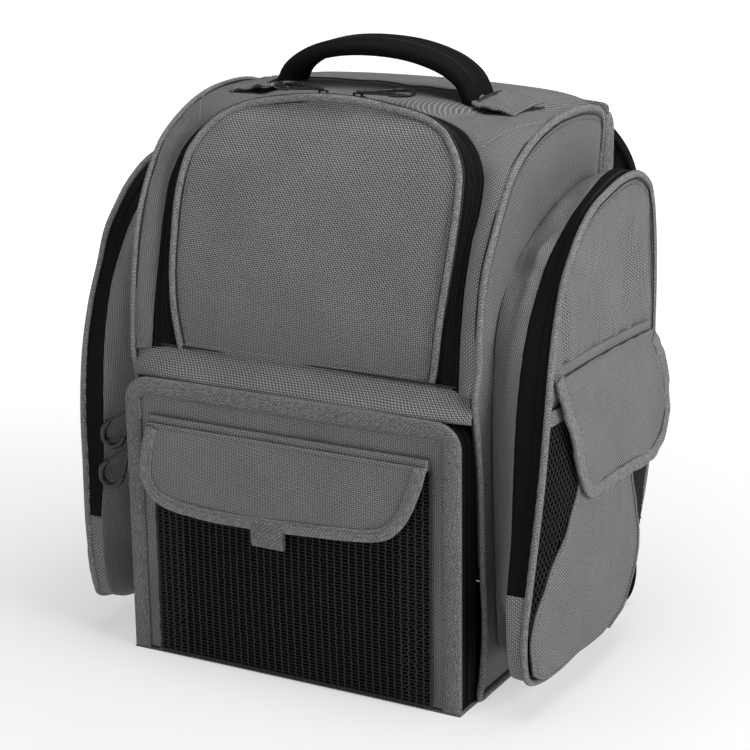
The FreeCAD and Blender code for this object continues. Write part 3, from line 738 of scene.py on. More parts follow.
def upper_shell():
    """Grey front gusset and crowned top, one cloth from the lid's zip band to the body's edge."""
    edge = BODY_SIDE + BODY_BACK
    spans = np.linspace(0, len(edge) - 1, (len(edge) - 1) * 6 + 1)
    places = np.interp(spans, np.arange(len(edge)), [place for _, place in edge])
    grid = ruled(arch_curve_at(BAND_EDGE, places), arch_curve([point for point, _ in edge], 6), 26, 3.0,
                 (0, 0, 1))
    grid = relax_panel(grid, 1.8, 40, 3)
    shell = sheet_piece("front_top_cloth", grid, "twill", 2.4, None, (0, 0, 1), 1)
    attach(shell, "pack")
    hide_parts("front_top_shell")
    seam = [(-141, 62, 0), (-135, 70, 0), (-118, 72, 0), (-95, 66, 0), (-56, 58, 0), (0, 57, 0), (56, 58, 0),
            (95, 66, 0), (118, 72, 0), (135, 70, 0), (141, 62, 0)]
    line = spline(seam, 130)
    for point in line:
        point[2] = shell_height(grid, point) + 2.2
    painted_seam_shade("pack", line, (0, 0, 1), 2.0, 1.4)
    row = line + np.array([0, -3.5, 0.3])
    stitches("pack", "thread_grey", row, (0, 0, 1), 3.2, 2.2, 0.34, 0.2)
    for _, sign in SIDES:
        slant = spline([(sign * 131, -30, 0), (sign * 146, -4, 0), (sign * 160, 24, 0)], 40)
        for point in slant:
            point[2] = shell_height(grid, point) + 1.6
        stitches("pack", "thread_light", slant, (0, 0, 1), 3.0, 2.2, 0.36, 0.3)


def shell_height(grid, point):
    """Height of the top cloth at a place, from its nearest grid points."""
    flat = grid.reshape(-1, 3)
    far = ((flat[:, :2] - np.asarray(point)[:2]) ** 2).sum(axis=1)
    high = flat[:, 2] > 430
    far = np.where(high, far, 1e9)
    near = np.argsort(far)[:4]
    weight = 1 / (far[near] + 1.0)
    return float((flat[near, 2] * weight).sum() / weight.sum())


def side_panels():
    for side, sign in SIDES:
        loop = spline(SIDE_LOOP, 160, closed=True)
        grid = filled_outline(loop, (163, 30, 220), 22, 3.0, 3.0, (1, 0, 0))
        for ring in grid[1:]:
            for point in ring:
                point[0] += 1.3 * crumple(point, 60, 11) + 0.6 * crumple(point, 24, 12)
        panel = disc_piece("side_cloth_" + side, mirrored(grid, sign), "twill", 2.4, [1, 2], (sign, 0, 0))
        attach(panel, "pack")
        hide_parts("side_panel_" + side)
        edge = mirrored(loop, sign)
        out = np.array([(sign * 1.0, 0, 0)] * len(edge))
        piping = sweep_piece("body_piping_" + side + "_tape", edge, oval(6.0, 5.4, 12), out,
                             "grosgrain", closed=True)
        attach(piping, "pack")
        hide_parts("body_piping_" + side)
        inner = (163 * sign, 30, 220)
        row = edge + (np.array(inner) - edge) * 0.036
        stitches("pack", "thread_grey", row[:110], out[:110] * 1.0, lift=0.8)
        painted_seam_shade("pack", edge + (np.array(inner) - edge) * 0.019 + out * 0.6, out, 1.5, 1.6)
        front = edge[14:100] + np.array([-sign * 3.6, -0.6, 0.6])
        painted_seam_shade("pack", front, (0, -1, 0.5), 1.5, 1.4)
        back_run = spline([point for point in SIDE_BACK], 60)
        flare = spline([(166, 141, 446.5), (169.3, 141.2, 438), (169.3, 141.2, 400), (166.5, 141, 330),
                        (163.5, 141, 250), (160, 141, 100), (158, 140.8, 10)], 60)
        strip = ruled(back_run + np.array([1.6, 1.0, 0]), flare, 6, 0.8, (1, 0, 0))
        wrap = sheet_piece("body_edge_tape_" + side, mirrored(strip, sign), "grosgrain", 1.6, None,
                           (sign, 0, 0), 1)
        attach(wrap, "pack")
        painted_seam_shade("pack", mirrored(back_run + np.array([2.2, 0.8, 0]), sign), out[:60], 1.6, 1.6)


def lid_band():
    """Black zip band round the lid: half sewn to the lid, half to the body, coil between."""
    lid_edge = arch_curve(LID_EDGE)
    body_edge = arch_curve(BAND_EDGE)
    split, coil_gap = 0.5, 0.012
    stitch_rows = ((0.14, "arched_lid"), (0.40, "arched_lid"), (0.60, "pack"), (0.88, "pack"))
    middle = lid_edge + (body_edge - lid_edge) * split
    lid_half = ruled(lid_edge, middle, 6)
    body_half = ruled(middle + (body_edge - lid_edge) * coil_gap, body_edge, 6)
    moving = sheet_piece("lid_zip_cloth", lid_half, "zip_tape", 1.2, None, (0, 0, 1))
    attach(moving, "arched_lid")
    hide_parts("lid_zip_tape")
    fixed = sheet_piece("arch_zip_cloth", body_half, "zip_tape", 1.2, None, (0, 0, 1))
    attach(fixed, "pack")
    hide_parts("arch_zip_tape_fixed")
    normals = grid_normals(ruled(lid_edge, body_edge, 3))[:, 1]
    if normals[len(normals) // 2][2] < 0:
        normals = -normals
    zip_coil("pack", "arch_zip_coil", middle, normals, 1.5, 4.2)
    for share, body in stitch_rows:
        row = lid_edge + (body_edge - lid_edge) * share
        stitches(body, "thread_black", row, normals, 2.8, 2.0, 0.3, 0.1)


def lid():
    """Arched lid: one slightly crowned panel with a foam core, and piping round its edge."""
    edge = arch_curve(LID_EDGE, 6)
    rows = []
    half, columns = len(edge) // 2, 37
    for step in range(half + 1):
        left, right = edge[len(edge) - 1 - step], edge[step]
        shares = np.linspace(0, 1, columns)
        line = left + (right - left) * shares[:, None]
        width = 1 - (2 * shares - 1) ** 2
        lean = 2.0 + 2.5 * math.sin(math.pi * min(step / half, 1.0))
        line[:, 1] -= lean * width
        rows.append(line)
    rows[-1] = np.array([edge[half]] * columns) + np.linspace(-1, 1, columns)[:, None] * np.array([1.0, 0, 0])
    grid = relax_panel(np.array(rows), 0.9, 70, 7)
    panel = sheet_piece("lid_cloth", grid, "twill", 3.6, [0, 2], (0, -1, 0), 1)
    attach(panel, "arched_lid")
    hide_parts("lid_panel")
    normals = np.array([(0, -1.0, 0.3)] * len(edge))
    piping = sweep_piece("lid_piping_tape", edge + np.array([0, -1.2, 0]), oval(6.0, 5.2, 12), normals,
                         "grosgrain")
    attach(piping, "arched_lid")
    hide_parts("lid_piping")
    inner = edge * np.array([0.972, 1, 1]) + np.array([0, -1.0, 0])
    inner[:, 2] = 340 + (edge[:, 2] - 340) * 0.972
    painted_seam_shade("arched_lid", inner, (0, -1, 0.3), 1.4, 1.2)
    outer = edge * np.array([1.026, 1, 1]) + np.array([0, 0.8, 0])
    outer[:, 2] = 340 + (edge[:, 2] - 340) * 1.02
    painted_seam_shade("arched_lid", outer, (0, -1, 0.3), 1.4, 1.2)
    inner = edge * np.array([0.945, 1, 1]) + np.array([0, -1.8, 0])
    inner[:, 2] = 340 + (edge[:, 2] - 340) * 0.945
    stitches("arched_lid", "thread_grey", inner[4:-4], (0, -1, 0.25), 3.2, 2.2, 0.3, 0.5)
    foot = np.linspace(edge[-1], edge[0], 60)
    foot[:, 1] -= 2.0 * (1 - np.linspace(-1, 1, 60) ** 2) + 0.6
    hem = sweep_piece("lid_foot_seam", foot + np.array([0, 0, 2.2]), flat_section(7, 1.6), (0, -1, 0.1),
                      "twill_fine")
    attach(hem, "arched_lid")


def seam_band():
    """Grey band between the lid's foot and the lower door, with one row of stitching and a dark seam line
    painted as shade.
    """
    shares = np.linspace(-1, 1, 61)
    rows = []
    for z, y in ((266.5, -92.6), (263, -96), (257.5, -100.5), (252.5, -106), (248.5, -112), (245.6, -115),
                 (242.8, -115.3), (241.8, -110)):
        line = [(157 * s, -96 + (y + 96) * (1 - 0.75 * abs(s) ** 8) - 2.6 * abs(s) ** 6
                 - 0.8 * math.sin(3.1 * s),
                 z - 1.5 * abs(s) ** 6) for s in shares]
        rows.append(line)
    grid = relax_panel(np.array(rows), 1.5, 30, 21, 2)
    band = sheet_piece("front_seam_cloth", grid, "twill", 2.2, [0, 2], (0, -1, 0), 1)
    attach(band, "pack")
    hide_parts("front_seam_band")
    row = [(155 * s, -95.6 - 2.6 * (abs(s) ** 6), 264.6) for s in shares]
    stitches("pack", "thread_grey", row, (0, -1, 0), 3.2, 2.2, 0.33, 0.5)
    painted_seam_shade("pack", [(156 * s, -93.6 - 2.6 * (abs(s) ** 6) - 0.8 * math.sin(3.1 * s), 266.8) for s in shares],
           (0, -1, 0.5), 1.6, 1.6)


# ---------------------------------------------------------------- lower door

DOOR_HALF, DOOR_LOW, DOOR_TOP, DOOR_CORNER = 155, 2, 243, 20


def door_height(share):
    """Top edge of the door, slightly bowed."""
    return DOOR_TOP + 1.5 - 1.5 * share * share


def door():
    shares_x = np.linspace(-1, 1, 61)
    shares_z = np.linspace(0, 1, 45)
    grid = np.zeros((61, 45, 3))
    inset = 2.0
    for i, sx in enumerate(shares_x):
        top = door_height(sx) - inset
        for j, sz in enumerate(shares_z):
            z = DOOR_LOW + 1 + (top - DOOR_LOW - 1) * sz
            limit = DOOR_HALF - inset
            drop = max(z - (DOOR_TOP - DOOR_CORNER), 0)
            limit -= DOOR_CORNER - math.sqrt(max(DOOR_CORNER ** 2 - drop ** 2, 0)) if drop else 0
            bulge = 2.4 * (1 - sx ** 2) * math.sin(math.pi * min(max(sz, 0.02), 0.98))
            grid[i, j] = (limit * sx, -118.8 - bulge, z)
    grid = relax_panel(grid, 0.7, 60, 31)
    panel = sheet_piece("door_cloth", grid, "twill", 3.4, [0, 2], (0, -1, 0), 1)
    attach(panel, "lower_door")
    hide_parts("door_panel")

    path = rounded_path(DOOR_HALF, DOOR_LOW, DOOR_TOP + 0.5, DOOR_CORNER, -119.0, 240)
    path[:, 2] += 1.2 * (1 - (path[:, 0] / DOOR_HALF) ** 2) * (path[:, 2] > DOOR_TOP - 2)
    width = 14.5
    section = [(-1.2, 3.6), (0.6, 2.4), (1.0, 0.2), (0.5, -1.6), (-1.0, -2.3), (-width + 1.2, -2.5),
               (-width, -1.8), (-width + 0.2, 0.4), (-2.0, 0.8), (-2.4, 3.2)]
    inward = [(-n, -b) for n, b in section]
    binding = sweep_piece("door_binding_tape", path, inward, (0, -1, 0), "grosgrain_dark")
    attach(binding, "lower_door")
    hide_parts("door_binding")
    row = rounded_path(DOOR_HALF - width + 2.2, DOOR_LOW + 1, DOOR_TOP - width + 2.8, 8, -121.6, 200)
    stitches("lower_door", "thread_grey", row, (0, -1, 0), 3.2, 2.2, 0.33, 0.1)

    half = DOOR_HALF - 0.8
    for name, body, front, rear, node in (
            ("door_zip_cloth", "lower_door", -116.8, -103.1, "door_zip_tape_moving"),
            ("door_zip_cloth_fixed", "pack", -103.0, -88.5, "door_zip_tape_fixed")):
        grid = []
        for share in np.linspace(0, 1, 6):
            y = front + (rear - front) * share
            pinch = 1.6 * math.sin(math.pi * (share if node.endswith("moving") else 1 - share) / 2)
            line = rounded_path(half - pinch * 0.5, 1.5, DOOR_TOP - 1.0 - pinch * 0.5, DOOR_CORNER - 1, y,
                                200)
            grid.append(line)
        cloth = sheet_piece(name, np.array(grid), "zip_tape", 1.4, None, (0, 0, 1))
        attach(cloth, body)
        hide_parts(node)
    seam = rounded_path(half + 0.1, 3, DOOR_TOP - 1.2, DOOR_CORNER - 1, -103.3, 260)
    outward = np.array([(x / DOOR_HALF if abs(x) > 130 else 0, 0, 1.0 if z > 225 else 0.0)
                        for x, _, z in seam])
    outward[:, 0] = np.where(np.abs(seam[:, 0]) > 130, np.sign(seam[:, 0]), 0)
    zip_coil("pack", "door_zip_coil", seam, outward, 1.6, 4.4)


def front_net():
    """Net pocket on the door: ribbed centre and open ladder net down both sides."""
    low, high = 5, 204
    left, right = -127, 131
    band = 29
    columns = 39
    parts = []

    def front(x, z):
        share = (x - left) / (right - left)
        belly = 3.2 * math.sin(math.pi * share) * math.sin(math.pi * (z - low) / (high - low))
        return -122.2 - belly

    def strand(points, radius, sides=5):
        grid = sweep_grid(np.array(points), oval(radius * 2, radius * 2, sides), (0, -1, 0.001))
        rows = len(points)
        flat = grid.reshape(-1, 3)
        return flat, grid_faces(rows, sides, wrap_cols=True), flat[:, [0, 2]]

    pitch = (right - left) / columns
    rungs = int((high - low) / 2.9)
    for k in range(columns + 1):
        x = left + k * pitch
        open_net = x < left + band or x > right - band
        points = []
        steps = 70
        for s in range(steps + 1):
            z = low + (high - low) * s / steps
            wave = 0.5 * math.sin(s * 2.1 + k) + 0.35 * crumple((x, 0, z), 7, 41)
            points.append((x + wave, front(x, z) - (0.4 if open_net else 0.15), z))
        parts.append(strand(points, 0.85 if open_net else 0.62))
    for r in range(rungs + 1):
        z = low + (high - low) * r / rungs
        for start, stop in ((left, left + band), (right - band, right)):
            points = []
            for s in range(17):
                x = start + (stop - start) * s / 16
                dip = 0.45 * math.sin(s * 1.9 + r * 2.3) + 0.5 * crumple((x, 3, z), 6, 43)
                points.append((x, front(x, z) - 0.5 - 0.2 * math.cos(s * math.pi), z + dip))
            parts.append(strand(points, 0.62))
        points = [(x, front(x, z) - 0.25, z + 0.2 * math.sin(x * 0.9 + r))
                  for x in np.linspace(left + band, right - band, 40)]
        parts.append(strand(points, 0.42, 4))
    net = join_meshes("front_net_yarn", parts, "netting")
    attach(net, "lower_door")
    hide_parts("door_net_pocket")

    shares = np.linspace(0, 1, 49)
    heights = np.linspace(low - 1, high, 30)
    grid = np.array([[(left + (right - left) * s, front(left + (right - left) * s, z) + 0.9, z)
                      for z in heights] for s in shares])
    backing = sheet_piece("front_net_backing", grid, "net_backing", 0.5, [0, 2], (0, -1, 0))
    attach(backing, "lower_door")
    for x in (left, right):
        edge = []
        for s in range(90):
            z = low - 1 + (high - low + 1) * s / 89
            edge.append((x + 0.9 * crumple((x, 0, z), 5, 47), front(x, z) - 0.7, z))
        selvedge = sweep_piece("front_net_selvedge_" + ("left" if x < 0 else "right"), edge,
                               oval(2.6, 1.8, 7), (0, -1, 0), "netting")
        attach(selvedge, "lower_door")
    hem = [(x, front(x, low) - 0.4, low - 0.3 + 0.4 * crumple((x, 1, 0), 5, 49))
           for x in np.linspace(left, right, 120)]
    fold = sweep_piece("front_net_foot", hem, oval(2.4, 2.0, 7), (0, -1, 0), "netting")
    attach(fold, "lower_door")


FLAP_EDGE = [(-129.5, 206), (-133, 192), (-135.5, 178), (-136.3, 168), (-134, 155), (-125, 143.5),
             (-110, 137), (-90, 134.6), (-66, 133.3), (-32, 133.8), (1, 135.2), (40, 137.6), (66, 139.5),
             (84, 142), (96, 146), (106, 154), (114, 165), (120, 178), (125, 192), (128.5, 206)]


def flap_front(x, z):
    """Front face of the flap: stiff, bowed out towards its free edge."""
    across = 1 - (x / 140) ** 2
    drop = (206 - z) / 80
    return -127.6 - 2.6 * drop * across - 1.4 * math.sin(math.pi * min(max(drop, 0), 1)) - 1.2 * drop


def front_flap():
    edge = spline(FLAP_EDGE, 121)
    rows = []
    for share in np.linspace(0, 1, 24):
        line = []
        for x, z in edge:
            top_x = -1 + (x + 138) / 274 * 2
            top_x = top_x * 130.5 - 0.5
            px = top_x + (x - top_x) * share
            pz = 206 + (z - 206) * share
            line.append((px, flap_front(px, pz), pz))
        rows.append(line)
    grid = relax_panel(np.array(rows), 0.7, 45, 51, 1)
    panel = sheet_piece("flap_cloth", grid, "twill", 1.8, [0, 2], (0, -1, 0))
    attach(panel, "front_flap")
    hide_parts("flap_panel")

    path = np.array([(x, flap_front(x, z), z) for x, z in edge])
    width = 10.0
    section = [(0.9, 1.6), (1.3, 0), (0.8, -1.3), (-0.6, -1.6), (-width + 0.8, -1.5), (-width, -0.9),
               (-width + 0.3, 0.2), (-0.8, 0.5), (-1.6, 1.8), (-width + 1, 2.0), (-width + 1, 2.7),
               (-0.5, 2.8)]
    binding = sweep_piece("flap_binding_tape", path[::-1], [(-n, -b) for n, b in section], (0, -1, 0),
                          "grosgrain")
    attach(binding, "front_flap")
    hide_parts("flap_binding")
    row = []
    for x, z in edge[4:-4]:
        inward = np.array([0 - x, 0, 172 - z])
        inward[0] *= 0.35
        inward /= np.linalg.norm(inward)
        spot = np.array([x, 0, z]) + inward * (width - 1.6)
        row.append((spot[0], flap_front(spot[0], spot[2]) - 1.4, spot[2]))
    stitches("front_flap", "thread_grey", row, (0, -1, 0), 3.0, 2.1, 0.32, 0.3)

    welt = [(x, -122.6 - 0.3 * math.sin(x * 0.11), 209.5) for x in np.linspace(-132, 130, 80)]
    fold = sweep_piece("flap_welt_tape", welt, flat_section(8.6, 4.2, 2.0, 4), (0, -1, 0), "twill_fine")
    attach(fold, "lower_door")
    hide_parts("flap_welt")
    fold_hinge = [(x, -126.2, 206.2) for x in np.linspace(-131, 129, 60)]
    hinge = sweep_piece("flap_hinge_fold", fold_hinge, oval(4.4, 3.4, 10), (0, -1, 0), "twill_fine")
    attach(hinge, "front_flap")

    front = flap_front(-13, 134)
    loop = [(0, front + 2.4, 143), (0, front - 1.4, 139), (0, front - 2.3, 131), (0, front - 2.2, 123),
            (0, front - 0.6, 119.5), (0, front + 1.2, 121), (0, front + 2.0, 130), (0, front + 2.6, 140)]
    path = spline(loop, 40) + np.array([-13, 0, 0])
    tab = sweep_piece("flap_tab_webbing", path, flat_section(30, 1.5), tab_binormals(path), "grosgrain_dark")
    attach(tab, "front_flap")
    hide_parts("flap_tab")


def tab_binormals(path):
    """Directions square to both the path and the X axis."""
    tangent = np.gradient(path, axis=0)
    return np.cross(tangent, np.array([1.0, 0, 0]))


# ---------------------------------------------------------------- side pockets

# Edges of a side pocket, right side: piping (y, z, x), the zip band's inner edge (y, z), and
# the seam on the side panel (y, z).
POCKET = [((-77, 26, 206), (-77, 24), (-50, 33)), ((-100, 33, 205.5), (-100, 34), (-62, 42)),
          ((-106, 46, 205), (-108, 47), (-66, 54)), ((-109, 63, 205.5), (-111, 63), (-67, 66)),
          ((-109.5, 84, 206.5), (-112.5, 85), (-68, 84)), ((-108, 108, 208.6), (-112, 109), (-69, 106)),
          ((-103.5, 150, 211.5), (-105, 150), (-72, 148)), ((-98.5, 200, 214.6), (-101.5, 200), (-75, 200)),
          ((-91, 250, 215.2), (-97, 250), (-76, 250)), ((-80, 292, 213.6), (-88, 290), (-74.5, 288)),
          ((-68.5, 320, 212), (-77, 317), (-70, 313)), ((-56, 348, 211.5), (-60, 342), (-57, 337)),
          ((-40, 366, 211), (-44, 360), (-40, 352)), ((-22, 382, 210.5), (-24, 374), (-19, 367)),
          ((4, 396, 210), (4, 389), (5, 378)), ((36, 403.5, 209.5), (36, 400.5), (32, 388)),
          ((68, 407.5, 209), (66, 409), (62, 394.5)), ((99, 405.5, 208.3), (96, 409.5), (90, 398)),
          ((122, 394, 208), (120, 399), (112, 394)), ((130, 381, 208), (130, 384), (122, 382)),
          ((134, 365, 208.3), (135, 366), (126, 365)), ((136, 340, 209), (138, 340), (128, 340)),
          ((136.5, 315, 209.5), (139, 315), (129, 315)), ((135.5, 285, 210), (139, 285), (129, 285)),
          ((134.5, 250, 210), (138.5, 250), (129, 250)), ((134, 200, 209.5), (138, 200), (128, 200)),
          ((133, 150, 208.5), (136, 150), (127, 150)), ((124, 118, 208), (127, 118), (120, 120)),
          ((112, 94, 208), (114, 93), (108, 96)), ((98, 66, 207.5), (99, 64), (96, 70)),
          ((84, 45, 207), (86, 43), (82, 50)), ((70, 31, 206.5), (71, 29), (66, 38)),
          ((50, 27, 206), (50, 25), (46, 33)), ((18, 25.5, 206), (18, 23.5), (16, 31)),
          ((-13, 24, 206), (-13, 22), (-12, 31)), ((-43, 23, 206), (-43, 21), (-34, 31))]
BOTTLE_HEM = 250


def pocket_curves(per_span=5):
    """Matched loops: piping, zip band's inner edge, and the gusset's root on the body."""
    count = len(POCKET) * per_span
    piping = spline([(x, y, z) for (y, z, x), _, _ in POCKET], count, closed=True, even=False)
    seam = spline([(192.2, y, z) for _, (y, z), _ in POCKET], count, closed=True, even=False)
    root = spline([(161.6, y, z) for _, _, (y, z) in POCKET], count, closed=True, even=False)
    root[:, 0] += np.interp(root[:, 2], (240, 330, 400), (0, 1.0, 2.5))
    return piping, seam, root


def side_pocket(side, sign):
    piping, seam, root = pocket_curves()
    tag = side
    steps = 20
    gusset = ruled(root, seam, steps)
    shares = np.linspace(0, 1, steps)
    for i in range(len(gusset)):
        for j in range(steps):
            fade = 4 * shares[j] * (1 - shares[j])
            y, z = gusset[i, j, 1], gusset[i, j, 2]
            outward = np.array([0, y - 30, (z - 210) * 0.6])
            outward /= max(np.linalg.norm(outward), 1e-6)
            fold = crumple((gusset[i, j, 0] * 2.2, y, z * 0.35), 34, 61) + 0.5 * crumple(gusset[i, j], 15, 62)
            low_fold = math.exp(-((z - 66) / 20) ** 2) * (1 if y < -40 else 0)
            high_fold = 1 + 1.6 * math.exp(-((z - 350) / 40) ** 2)
            gusset[i, j] += outward * (3.0 * fold * fade * high_fold - 11.0 * low_fold * fade)
    wrapped = np.concatenate([gusset, gusset[:1]])
    cloth = sheet_piece("pocket_gusset_cloth_" + tag, mirrored(wrapped, sign), "twill", 2.2, None, None, 1)
    fix_outward(cloth, (sign * 176, 30, 210))
    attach(cloth, "pack")
    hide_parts("pocket_gusset_" + tag)

    zip_low = 107
    zipped = np.array([z > zip_low for _, _, z in piping])
    order = np.roll(np.arange(len(piping)), -int(np.argmax(zipped & ~np.roll(zipped, 1))))
    order = order[:int(zipped.sum())]
    below = np.setdiff1d(np.arange(len(piping)), order[1:-1])
    start = int(np.argmax(below == order[-1]))
    below = np.roll(below, -start)
    middle = seam + (piping - seam) * 0.5
    for name, body, first, second, node in (
            ("pocket_zip_cloth_fixed_", "pack", seam, middle - (piping - seam) * 0.01,
             "pocket_zip_tape_fixed_"),
            ("pocket_zip_cloth_", "side_pocket_" + tag, middle + (piping - seam) * 0.01, piping,
             "pocket_zip_tape_moving_")):
        band = ruled(first[order], second[order], 5)
        piece = sheet_piece(name + tag, mirrored(band, sign), "zip_tape", 1.2)
        fix_outward(piece, (sign * 200, 30, 210))
        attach(piece, body)
        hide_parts(node + tag)
    line = mirrored(middle[order], sign)
    outward = line - np.array([line[:, 0], np.full(len(line), 30.0), np.full(len(line), 200.0)]).T
    outward[:, 0] = 0
    zip_coil("pack", "pocket_zip_coil_" + tag, line, outward, 1.6, 4.2)

    foot = ruled(seam[below], piping[below], 9)
    for i in range(len(foot)):
        for j in range(9):
            fade = 4 * (j / 8) * (1 - j / 8)
            foot[i, j] += np.array([0, -2.0, 0]) * fade * crumple(foot[i, j], 14, 65)
    lower = sheet_piece("pocket_foot_cloth_" + tag, mirrored(foot, sign), "twill", 1.8, None, None, 1)
    fix_outward(lower, (sign * 200, 30, 120))
    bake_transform(lower)

    centre = (209.5, 28, 215)
    grid = filled_outline(piping, centre, 26, 4.5, 2.5, (1, 0, 0))
    for ring in grid[1:]:
        for point in ring:
            fold = crumple((0, point[1] * 2.4, point[2] * 0.4), 34, 67) * (6.0 if point[2] > 275 else 1.5)
            point[0] += 0.9 * crumple(point, 48, 66) + fold * min(1, abs(395 - point[2]) / 30)
            point[0] -= 5.0 * min(max((264 - point[2]) / 12, 0), 1)
    panel = disc_piece("pocket_cloth_" + tag, mirrored(grid, sign), "twill_fine", 2.0, [1, 2], (sign, 0, 0))
    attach(panel, "side_pocket_" + tag)
    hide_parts("pocket_panel_" + tag)
    edge = mirrored(piping, sign) + np.array([sign * 0.6, 0, 0])
    aim = np.array([centre[0] * sign, centre[1], centre[2]])
    painted_seam_shade("side_pocket_" + tag, edge + (aim - edge) * 0.021 + np.array([sign * 0.9, 0, 0]), (sign, 0, 0),
           1.4, 1.4)
    painted_seam_shade("pack", mirrored(root, sign) + np.array([sign * 0.6, 0, 0]), (sign, 0, 0), 1.5, 1.4)
    tube = sweep_piece("pocket_piping_tape_" + tag, edge, oval(5.8, 5.4, 12), (sign, 0, 0.001), "grosgrain",
                       closed=True)
    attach(tube, "side_pocket_" + tag)
    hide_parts("pocket_piping_" + tag)
    row = edge + (aim - edge) * 0.042
    stitches("side_pocket_" + tag, "thread_grey", row, (sign, 0, 0), 3.2, 2.2, 0.32, 0.9)
    bottle_sleeve(side, sign, piping)
    side_flap(side, sign)


def fix_outward(piece, centre):
    """Turns a curved wall's faces away from a middle point."""
    total = 0.0
    middle = Vector(centre) * MM
    for polygon in piece.data.polygons:
        arm = polygon.center - middle
        arm.x *= 0.2
        total += polygon.normal.dot(arm) * polygon.area
    if total < 0:
        piece.data.flip_normals()


# Seams between the sleeve's grey centre and its net wedges, as (z, y).
SLEEVE_FRONT_SEAM = [(70, -108), (90, -99), (105, -89), (122, -77), (140, -61), (157, -50), (170, -39),
                     (243, -10)]
SLEEVE_BACK_SEAM = [(95, 101), (134, 86), (152, 79), (243, 40)]


def sleeve_face(y, z):
    """Outer face of the bottle sleeve: bellied, tight at its foot."""
    share_z = min(max((z - 24) / (BOTTLE_HEM - 24), 0), 1)
    share_y = min(max((y + 100) / 225, 0), 1)
    belly = math.sin(math.pi * share_y) ** 0.7 * math.sin(math.pi * (0.12 + 0.72 * share_z)) ** 0.8
    return 210.5 + 9.0 * belly + 3.0 * (1 - share_z) * math.sin(math.pi * share_y)


def sleeve_limits(z, loop):
    """Front and back edge of the pocket at a height."""
    front = max([y for _, y, w in loop if abs(w - z) < 5 and y < 20], default=-100)
    back = min([y for _, y, w in loop if abs(w - z) < 5 and y > 20], default=120)
    return front + 3, back - 3


def bottle_sleeve(side, sign, loop):
    """Sleeve for a bottle: grey centre that widens downward between two diamond net wedges."""
    heights = np.linspace(31, BOTTLE_HEM, 46)
    edges = []
    for z in heights:
        front, back = sleeve_limits(z, loop)
        grey_front = max(float(np.interp(z, *zip(*SLEEVE_FRONT_SEAM))), front)
        grey_back = min(float(np.interp(z, *zip(*SLEEVE_BACK_SEAM))), back)
        edges.append((front, grey_front, grey_back, back))
    rows = []
    for z, (_, first, last, _) in zip(heights, edges):
        shares = np.linspace(0, 1, 31)
        line = [(sleeve_face(first + (last - first) * s, z), first + (last - first) * s, z) for s in shares]
        rows.append(line)
    grid = np.array(rows)
    for i in range(grid.shape[0]):
        for j in range(grid.shape[1]):
            x, y, z = grid[i, j]
            grid[i, j, 0] += 1.6 * crumple((0, y * 1.8, z * 0.35), 26, 71) + 0.5 * crumple((x, y, z), 12, 72)
    panel = sheet_piece("bottle_cloth_" + side, mirrored(grid, sign), "twill_fine", 1.4, [1, 2],
                        (sign, 0, 0), 1)
    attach(panel, "side_pocket_" + side)
    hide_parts("bottle_pocket_panel_" + side)
    for column, name in ((0, "front"), (-1, "back")):
        seam = mirrored(grid[:, column], sign) + np.array([sign * 0.5, 0, 0])
        tube = sweep_piece("bottle_seam_%s_%s" % (name, side), seam, oval(3.4, 2.2, 8), (sign, 0, 0.001),
                           "twill_fine")
        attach(tube, "side_pocket_" + side)
        step = 1 if column == 0 else -2
        stitches("side_pocket_" + side, "thread_light", mirrored(grid[:, step], sign), (sign, 0, 0),
                 3.0, 2.1, 0.3, 0.4)

    parts = []
    spacing, width = 5.4, 0.62
    for which in (0, 1):
        for family in (-1, 1):
            for start in np.arange(-260, 300, spacing):
                run = []
                for z in np.arange(32, BOTTLE_HEM + 0.1, 3.0):
                    y = start + family * (z - 24) * 0.62 + 0.3 * math.sin(z * 0.8 + start)
                    index = min(int((z - 31) / (BOTTLE_HEM - 31) * 45), 45)
                    front, grey_front, grey_back, back = edges[index]
                    low, high = (front - 2, grey_front + 1) if which == 0 else (grey_back - 1, back + 2)
                    if low <= y <= high:
                        run.append((sleeve_face(y, z) - 0.8 - 0.25 * family, y, z))
                    elif len(run) > 1:
                        parts.append(net_strand(mirrored(run, sign), width, sign))
                        run = []
                    else:
                        run = []
                if len(run) > 1:
                    parts.append(net_strand(mirrored(run, sign), width, sign))
    net = join_meshes("bottle_net_yarn_" + side, parts, "netting")
    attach(net, "side_pocket_" + side)
    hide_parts("bottle_pocket_net_" + side)
    for which, name in ((0, "front"), (1, "back")):
        rows = []
        for z, limits in zip(heights, edges):
            first, last = (limits[0] - 2, limits[1] + 1) if which == 0 else (limits[2] - 1, limits[3] + 2)
            rows.append([(sleeve_face(y, z) - 2.0, y, z) for y in np.linspace(first, last, 12)])
        film = sheet_piece("bottle_net_backing_%s_%s" % (name, side), mirrored(np.array(rows), sign),
                           "net_backing", 0.5, [1, 2], (sign, 0, 0))
        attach(film, "side_pocket_" + side)
    front, grey_front, grey_back, back = edges[-1]
    hem = np.array([(sleeve_face(y, BOTTLE_HEM) + 0.2, y, BOTTLE_HEM - 3.5)
                    for y in np.linspace(front - 1, back + 1, 70)])
    binding = sweep_piece("bottle_hem_tape_" + side, mirrored(hem, sign), flat_section(13, 2.6),
                          (sign, 0, 0.001),
                          "grosgrain")
    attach(binding, "side_pocket_" + side)


def net_strand(points, radius, sign):
    grid = sweep_grid(points, oval(radius * 2, radius * 2, 4), (sign, 0, 0.001))
    flat = grid.reshape(-1, 3)
    return flat, grid_faces(len(points), 4, wrap_cols=True), flat[:, [1, 2]]


SIDE_FLAP_EDGE = [(-80, 277), (-69.5, 251), (-55, 222), (-46.5, 200), (-35, 178), (-22, 167), (-12, 165),
                  (18, 163), (60, 160.5), (99, 157), (124, 159.5), (142, 172), (149, 190), (147, 206),
                  (139, 238), (127, 256), (118, 268)]


